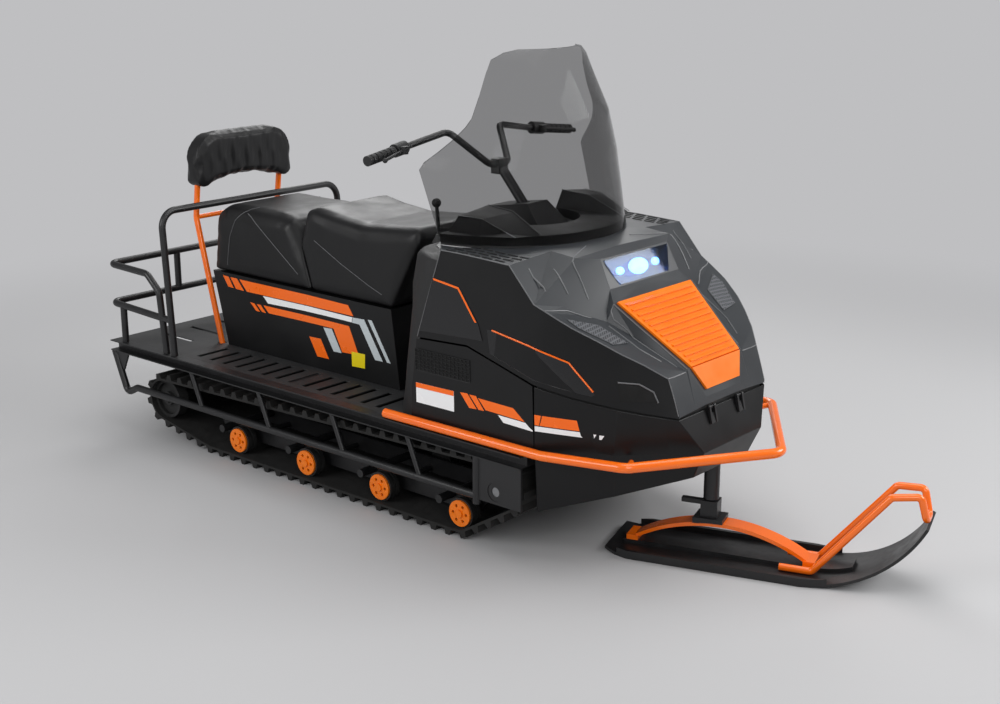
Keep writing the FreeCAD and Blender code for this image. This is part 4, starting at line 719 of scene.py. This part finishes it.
plates("hood_label", [[(1875, 431, 705), (1895, 431, 706), (2040, 431, 684), (2161, 402, 651), (2195, 385, 609),
                       (2234, 369, 563), (2225, 374, 556), (2185, 390, 562), (2056, 430, 583), (1885, 430, 633)]],
       0.5, "hood_lid", FILM_DARK, cuts=3)
beads("hood_label_line", both_sides([
    [(1895, 431, 705), (2040, 431, 683), (2161, 402, 650), (2195, 385, 609), (2228, 371, 570)],
], HOOD_FORM, 1.0), 2.6, "hood_lid", FILM_ORANGE)
# The slots drawn as flat dark plates on the skin: painted shade, with no openings cut
plates("hood_slot_shade", [
    [(x - 17, y, 924), (x + 17, y, 924), (x + 20, y - 4, 924), (x + 17, y - 7, 924), (x - 17, y - 7, 924),
     (x - 20, y - 4, 924)]
    for y, first in ((418, 1722), (394, 1734), (370, 1746), (346, 1758)) for x in range(first, first + 210, 48)
], 0.8, "hood_lid", SLOT_PAINTED_SHADE)
plates("scoop_mesh", [[(2137, 374, 770), (2179, 283, 743), (2262, 248, 699), (2256, 318, 703), (2174, 371, 750)]],
       2.0, "hood_lid", WIRE)
beads("scoop_rims", both_sides([
    [(2137, 374, 772), (2179, 283, 746), (2262, 248, 702), (2256, 318, 706), (2174, 371, 753), (2137, 374, 772)],
], HOOD_FORM, 0.6), 2.4, "hood_lid", HOOD_ABS_PAINTED_LIT)
# The pockets drawn as flat dark plates on the skin: painted shade of a recess
plates("bow_pocket_shade", [[(2289, 336, 600), (2333, 301, 593), (2366, 271, 573), (2379, 265, 546), (2297, 333, 546)]],
       1.0, "hood_lid", SLOT_PAINTED_SHADE, cuts=3)
# Pocket rims in the pale painted highlight
beads("pocket_rims", both_sides([[(2289, 336, 602), (2337, 298, 598), (2368, 270, 575), (2381, 264, 545)]],
                                HOOD_FORM, 0.6), 2.4, "hood_lid", EDGE_HIGHLIGHT)


def seat_seams():
    """Raised seams down the seat covers, laid on the finished cushions."""
    lines = {
        rear_cushion: [[(517, 205, 864), (640, 208, 774), (790, 208, 668)],
                       [(538, 150, 892), (500, 190, 862), (462, 205, 820), (426, 206, 753), (404, 206, 645)]],
        rider_cushion: [[(880, 206, 800), (1010, 208, 737), (1140, 208, 683), (1205, 206, 660)]],
    }
    for number, (cover, drawn) in enumerate(lines.items()):
        beads(f"seat_seam_{number}", both_sides(drawn, form_of(cover), 0.4), 1.5, "chassis", SEAM)


seat_seams()


def vent_grid():
    """The perforated vent in each cowl side: rows of small square holes."""
    bm = bmesh.new()
    columns, rows, x0, x1, z0, z1 = 14, 6, 1581, 1803, 526, 596
    for side in (RIGHT, LEFT):
        made = bmesh.ops.create_grid(bm, x_segments=columns, y_segments=rows, size=0.5)["verts"]
        faces = list({f for v in made for f in v.link_faces})
        for vert in made:
            z = z0 + (z1 - z0) * (vert.co.y + 0.5)
            vert.co = at(x0 + (x1 - x0) * (vert.co.x + 0.5), side * (cowl_side_y(z) + 1.4), z)
        bmesh.ops.inset_individual(bm, faces=faces, thickness=0.0025)
        bmesh.ops.delete(bm, geom=faces, context="FACES")
    bmesh.ops.recalc_face_normals(bm, faces=bm.faces)
    bmesh.ops.solidify(bm, geom=bm.faces[:], thickness=0.001)
    made = piece(bm, "vent_grid", "chassis", TRIM_ABS)
    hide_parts("side_vents")


vent_grid()
film("vent_shadow", [[(1582, 595), (1802, 595), (1802, 527), (1582, 527)]], lambda z: cowl_side_y(z) + 0.1, SLOT_PAINTED_SHADE,
     "chassis", 0.2)


def between(rows, x, column):
    """A value read off a list of points along x."""
    for before, after in zip(rows, rows[1:]):
        if before[0] <= x <= after[0]:
            share = (x - before[0]) / (after[0] - before[0])
            return before[column] + (after[column] - before[column]) * share
    return rows[-1][column]


def belly_y(x, z):
    """How far out the belly's upper band stands at a place along it."""
    top_z = between(SILL, x, 2) - SILL_GAP
    share = (z - BELLY_CREASE_Z) / (top_z - BELLY_CREASE_Z)
    low = between(BELLY_CREASE, x, 1)
    return low + (between(SILL, x, 1) - low) * share


def belly_film(name, spans, material):
    """Films that run on round the nose, each from its rear edge to its slanted front edge."""
    bm = bmesh.new()
    for side in (RIGHT, LEFT):
        for x_top, x_low, rear, z_top, z_low in spans:
            rows = []
            for z, end in ((z_top, x_top), (z_low, x_low)):
                xs = [rear + (end - rear) * step / 6 for step in range(7)]
                rows.append([at(x, side * (belly_y(x, z) + 0.8), z) for x in xs])
            drawn_out(bm, rows)
    piece(walled(bm, 0.4), name, "chassis", material, sharp=60.0)


belly_film("nose_film_orange", [(2181, 2195, 2054, 478, 446)], FILM_ORANGE)
belly_film("nose_film_white", [
    (2216, 2208, 2054, 443, 427), (2236, 2228, 2222, 441, 427), (2258, 2250, 2244, 440, 427),
], FILM_WHITE)


# Headlamp: a bezel in the hood's step, a dark bucket, a lit reflector and a thin lens

LAMP_OUT = Vector((0.901, 0, 0.434))
LAMP_CORNERS = [(2133.8, -127.3, 826.4), (2133.8, 127.3, 826.4), (2098.2, 165.3, 900.6), (2098.2, -165.3, 900.6)]
BEZEL_CORNERS = [(2136, -178, 822), (2136, 178, 822), (2094, 172, 905), (2094, -172, 905)]


def lamp_loop(bm, corners, out_mm):
    """One four-sided loop of the lamp, set out along its axis."""
    row = [bm.verts.new(at(*corner) + LAMP_OUT * out_mm / 1000) for corner in corners]
    return [bm.edges.new((row[i], row[(i + 1) % 4])) for i in range(4)]


def lamp():
    """The lamp's bezel, bucket, reflector, light source and lens."""
    bm = bmesh.new()
    outer = lamp_loop(bm, BEZEL_CORNERS, 0.5)
    inner = lamp_loop(bm, LAMP_CORNERS, 0.5)
    bmesh.ops.bridge_loops(bm, edges=outer + inner)
    bmesh.ops.recalc_face_normals(bm, faces=bm.faces)
    bmesh.ops.solidify(bm, geom=bm.faces[:], thickness=0.003)
    piece(bm, "lamp_bezel", "hood_lid", HOOD_ABS_PAINTED_LIT)
    bm = bmesh.new()
    front = lamp_loop(bm, LAMP_CORNERS, 0.2)
    back = lamp_loop(bm, [(x, y * 0.86, z) for x, y, z in LAMP_CORNERS], -27.0)
    bmesh.ops.bridge_loops(bm, edges=front + back)
    bmesh.ops.edgeloop_fill(bm, edges=back)
    piece(walled(bm, 1.5, False), "lamp_bucket", "hood_lid", LENS_BUCKET)
    bm = bmesh.new()
    turn = LAMP_OUT.to_track_quat("Z", "Y").to_matrix().to_4x4()
    for y, across, along in ((6, 25, 48), (-88, 12, 17), (94, 12, 17)):
        centre = at(2116, y, 863.5) - LAMP_OUT * 0.012
        place = Matrix.Translation(centre) @ turn @ Matrix.Diagonal((along / 1000, across / 1000, 0.009, 1))
        bmesh.ops.create_uvsphere(bm, u_segments=24, v_segments=12, radius=1.0, matrix=place)
    piece(bm, "lamp_source", "hood_lid", LIT)
    bm = bmesh.new()
    first = lamp_loop(bm, LAMP_CORNERS, 1.9)
    bmesh.ops.edgeloop_fill(bm, edges=first)
    bmesh.ops.bevel(bm, geom=bm.verts[:], offset=0.012, segments=4, profile=0.5, affect="VERTICES", material=-1)
    bmesh.ops.recalc_face_normals(bm, faces=bm.faces)
    bmesh.ops.solidify(bm, geom=bm.faces[:], thickness=0.002)
    made = piece(bm, "lamp_lens_sheet", "hood_lid", LENS)
    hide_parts("headlamp")


lamp()


# Dash under the windscreen, carried by the hood

def dash():
    """The raised rim that the screen stands on, its ledge, and an angular block each side of the column."""
    levels = [(922, 1966, 1643, 377), (956, 1961, 1641, 379), (959, 1950, 1644, 368), (962, 1842, 1664, 162),
              (930, 1840, 1664, 160)]
    bm = skin([arc_row(*level) for level in levels])
    piece(walled(bm, 3.0), "dash_shell", "hood_lid", TRIM_ABS, sharp=18.0)
    foot = [(1652, 356, 956), (1652, 166, 956), (1800, 166, 956), (1898, 206, 956), (1862, 286, 956), (1768, 340, 956)]
    crown = [(1660, 316, 1004), (1664, 186, 1019), (1772, 192, 1012), (1742, 300, 1000)]
    faces = [(0, 1, 7, 6), (1, 2, 8, 7), (2, 3, 8), (3, 4, 9, 8), (4, 5, 9), (5, 0, 6, 9), (6, 7, 8, 9),
             (5, 4, 3, 2, 1, 0)]
    bm = bmesh.new()
    for side in (RIGHT, LEFT):
        corners = [bm.verts.new(at(x, side * y, z)) for x, y, z in foot + crown]
        for face in faces:
            bm.faces.new([corners[index] for index in face])
    bmesh.ops.bevel(bm, geom=bm.edges[:], offset=0.003, segments=2, profile=0.5, affect="EDGES", material=-1)
    piece(bm, "dash_blocks", "hood_lid", TRIM_ABS, sharp=20.0)
    # Pale painted highlights along the dash blocks' edges
    beads("dash_lines", both_sides([[(1666, 184, 1020), (1772, 191, 1013.5), (1899, 207, 958)],
                                    [(1660, 318, 1004.5), (1742, 301, 1001.5), (1864, 288, 958)]]),
          1.2, "hood_lid", EDGE_HIGHLIGHT)


dash()


def nose_gap_shade():
    """Painted shade: a black strip behind the gap between the hood and the belly, so the gap reads as dark."""
    path = [(x, y - 14, z) for x, y, z in SILL if x > 2045]
    path = [(x - (8 if x > 2420 else 0), y, z) for x, y, z in path]
    right = [at(x, -y, z) for x, y, z in path]
    left = [at(x, y, z) for x, y, z in reversed(path)]
    rows = [[point + Vector((0, 0, lift)) for point in right + left] for lift in (-0.028, 0.010)]
    piece(walled(skin(rows), 3.0), "nose_gap_shade", "chassis", TYRE, sharp=50.0)


nose_gap_shade()


# Stage, lights and camera

BACKDROP = "#bfbfc1"


def floor():
    """A wide plain floor under everything, which fades into the backdrop's tone far out."""
    bm = bmesh.new()
    bmesh.ops.create_grid(bm, x_segments=1, y_segments=1, size=30.0)
    mesh = bpy.data.meshes.new("studio_floor")
    bm.to_mesh(mesh)
    bm.free()
    made = bpy.data.objects.new("studio_floor", mesh)
    bpy.context.scene.collection.objects.link(made)
    paint = bpy.data.materials.new("studio_floor_paint")
    paint.use_nodes = True
    tree = paint.node_tree
    shader = tree.nodes["Principled BSDF"]
    shader.inputs["Base Color"].default_value = colour("#b9b9ba")
    shader.inputs["Roughness"].default_value = 0.8
    place = add(tree, "ShaderNodeTexCoord").outputs["Object"]
    reach = add(tree, "ShaderNodeVectorMath", None, {0: place}, operation="LENGTH").outputs["Value"]
    far = add(tree, "ShaderNodeMapRange", {1: 2.0, 2: 4.6, 3: 0.0, 4: 1.0}, {0: reach}, interpolation_type="SMOOTHSTEP")
    glow = add(tree, "ShaderNodeEmission", {"Color": colour(BACKDROP), "Strength": 1.0})
    blend = add(tree, "ShaderNodeMixShader", None, {0: far.outputs[0], 1: shader.outputs[0], 2: glow.outputs[0]})
    tree.links.new(blend.outputs[0], tree.nodes["Material Output"].inputs["Surface"])
    mesh.materials.append(paint)


floor()


def panel_light(name, place, aim, size, power):
    """A soft rectangular light that faces a point."""
    data = bpy.data.lights.new(name, "AREA")
    data.shape = "RECTANGLE"
    data.size, data.size_y = size
    data.energy = power
    made = bpy.data.objects.new(name, data)
    made.location = place
    made.rotation_euler = (Vector(aim) - Vector(place)).to_track_quat("-Z", "Y").to_euler()
    bpy.context.scene.collection.objects.link(made)


panel_light("overhead", (0.4, 0.4, 4.2), (0.1, 0, 0.4), (4.6, 3.0), 95)
panel_light("front_left", (3.6, 2.6, 2.8), (0.6, 0, 0.6), (2.6, 2.0), 120)
panel_light("front_right", (3.9, -3.2, 2.6), (0.4, 0, 0.6), (2.2, 1.8), 60)
panel_light("rear_left", (-2.8, 2.8, 3.0), (-0.4, 0, 0.6), (2.5, 1.6), 60)
panel_light("side_right", (-1.6, -4.2, 2.4), (-0.2, 0, 0.4), (3.4, 1.8), 85)


def backdrop():
    """A plain pale world: full tone where the camera sees it, straight or through clear sheet, softer as light."""
    world = bpy.data.worlds.new("studio")
    bpy.context.scene.world = world
    world.use_nodes = True
    tree = world.node_tree
    light = tree.nodes["Background"]
    light.inputs["Color"].default_value = colour("#c8c8ca")
    light.inputs["Strength"].default_value = 0.45
    seen = add(tree, "ShaderNodeBackground", {"Color": colour(BACKDROP), "Strength": 1.0})
    path = add(tree, "ShaderNodeLightPath")
    first = add(tree, "ShaderNodeMath", None,
                {0: path.outputs["Is Camera Ray"], 1: path.outputs["Is Transmission Ray"]}, operation="MAXIMUM")
    mixed = add(tree, "ShaderNodeMixShader", None, {0: first.outputs[0], 1: light.outputs[0], 2: seen.outputs[0]})
    tree.links.new(mixed.outputs[0], tree.nodes["World Output"].inputs["Surface"])


backdrop()
bpy.context.scene.view_settings.view_transform = "Standard"


def camera():
    """The camera at the photograph's place and angle."""
    data = bpy.data.cameras.new("camera")
    data.lens = 54.59
    data.sensor_width = 36.0
    data.clip_end = 100.0
    made = bpy.data.objects.new("camera", data)
    around, down = math.radians(40.64), math.radians(15.86)
    look = Vector((-math.sin(around) * math.cos(down), math.cos(around) * math.cos(down), -math.sin(down)))
    made.location = ((4721.7 - MIDDLE) / 1000, -3.6877, 1.8658)
    made.rotation_euler = look.to_track_quat("-Z", "Y").to_euler()
    bpy.context.scene.collection.objects.link(made)
    bpy.context.scene.camera = made


camera()
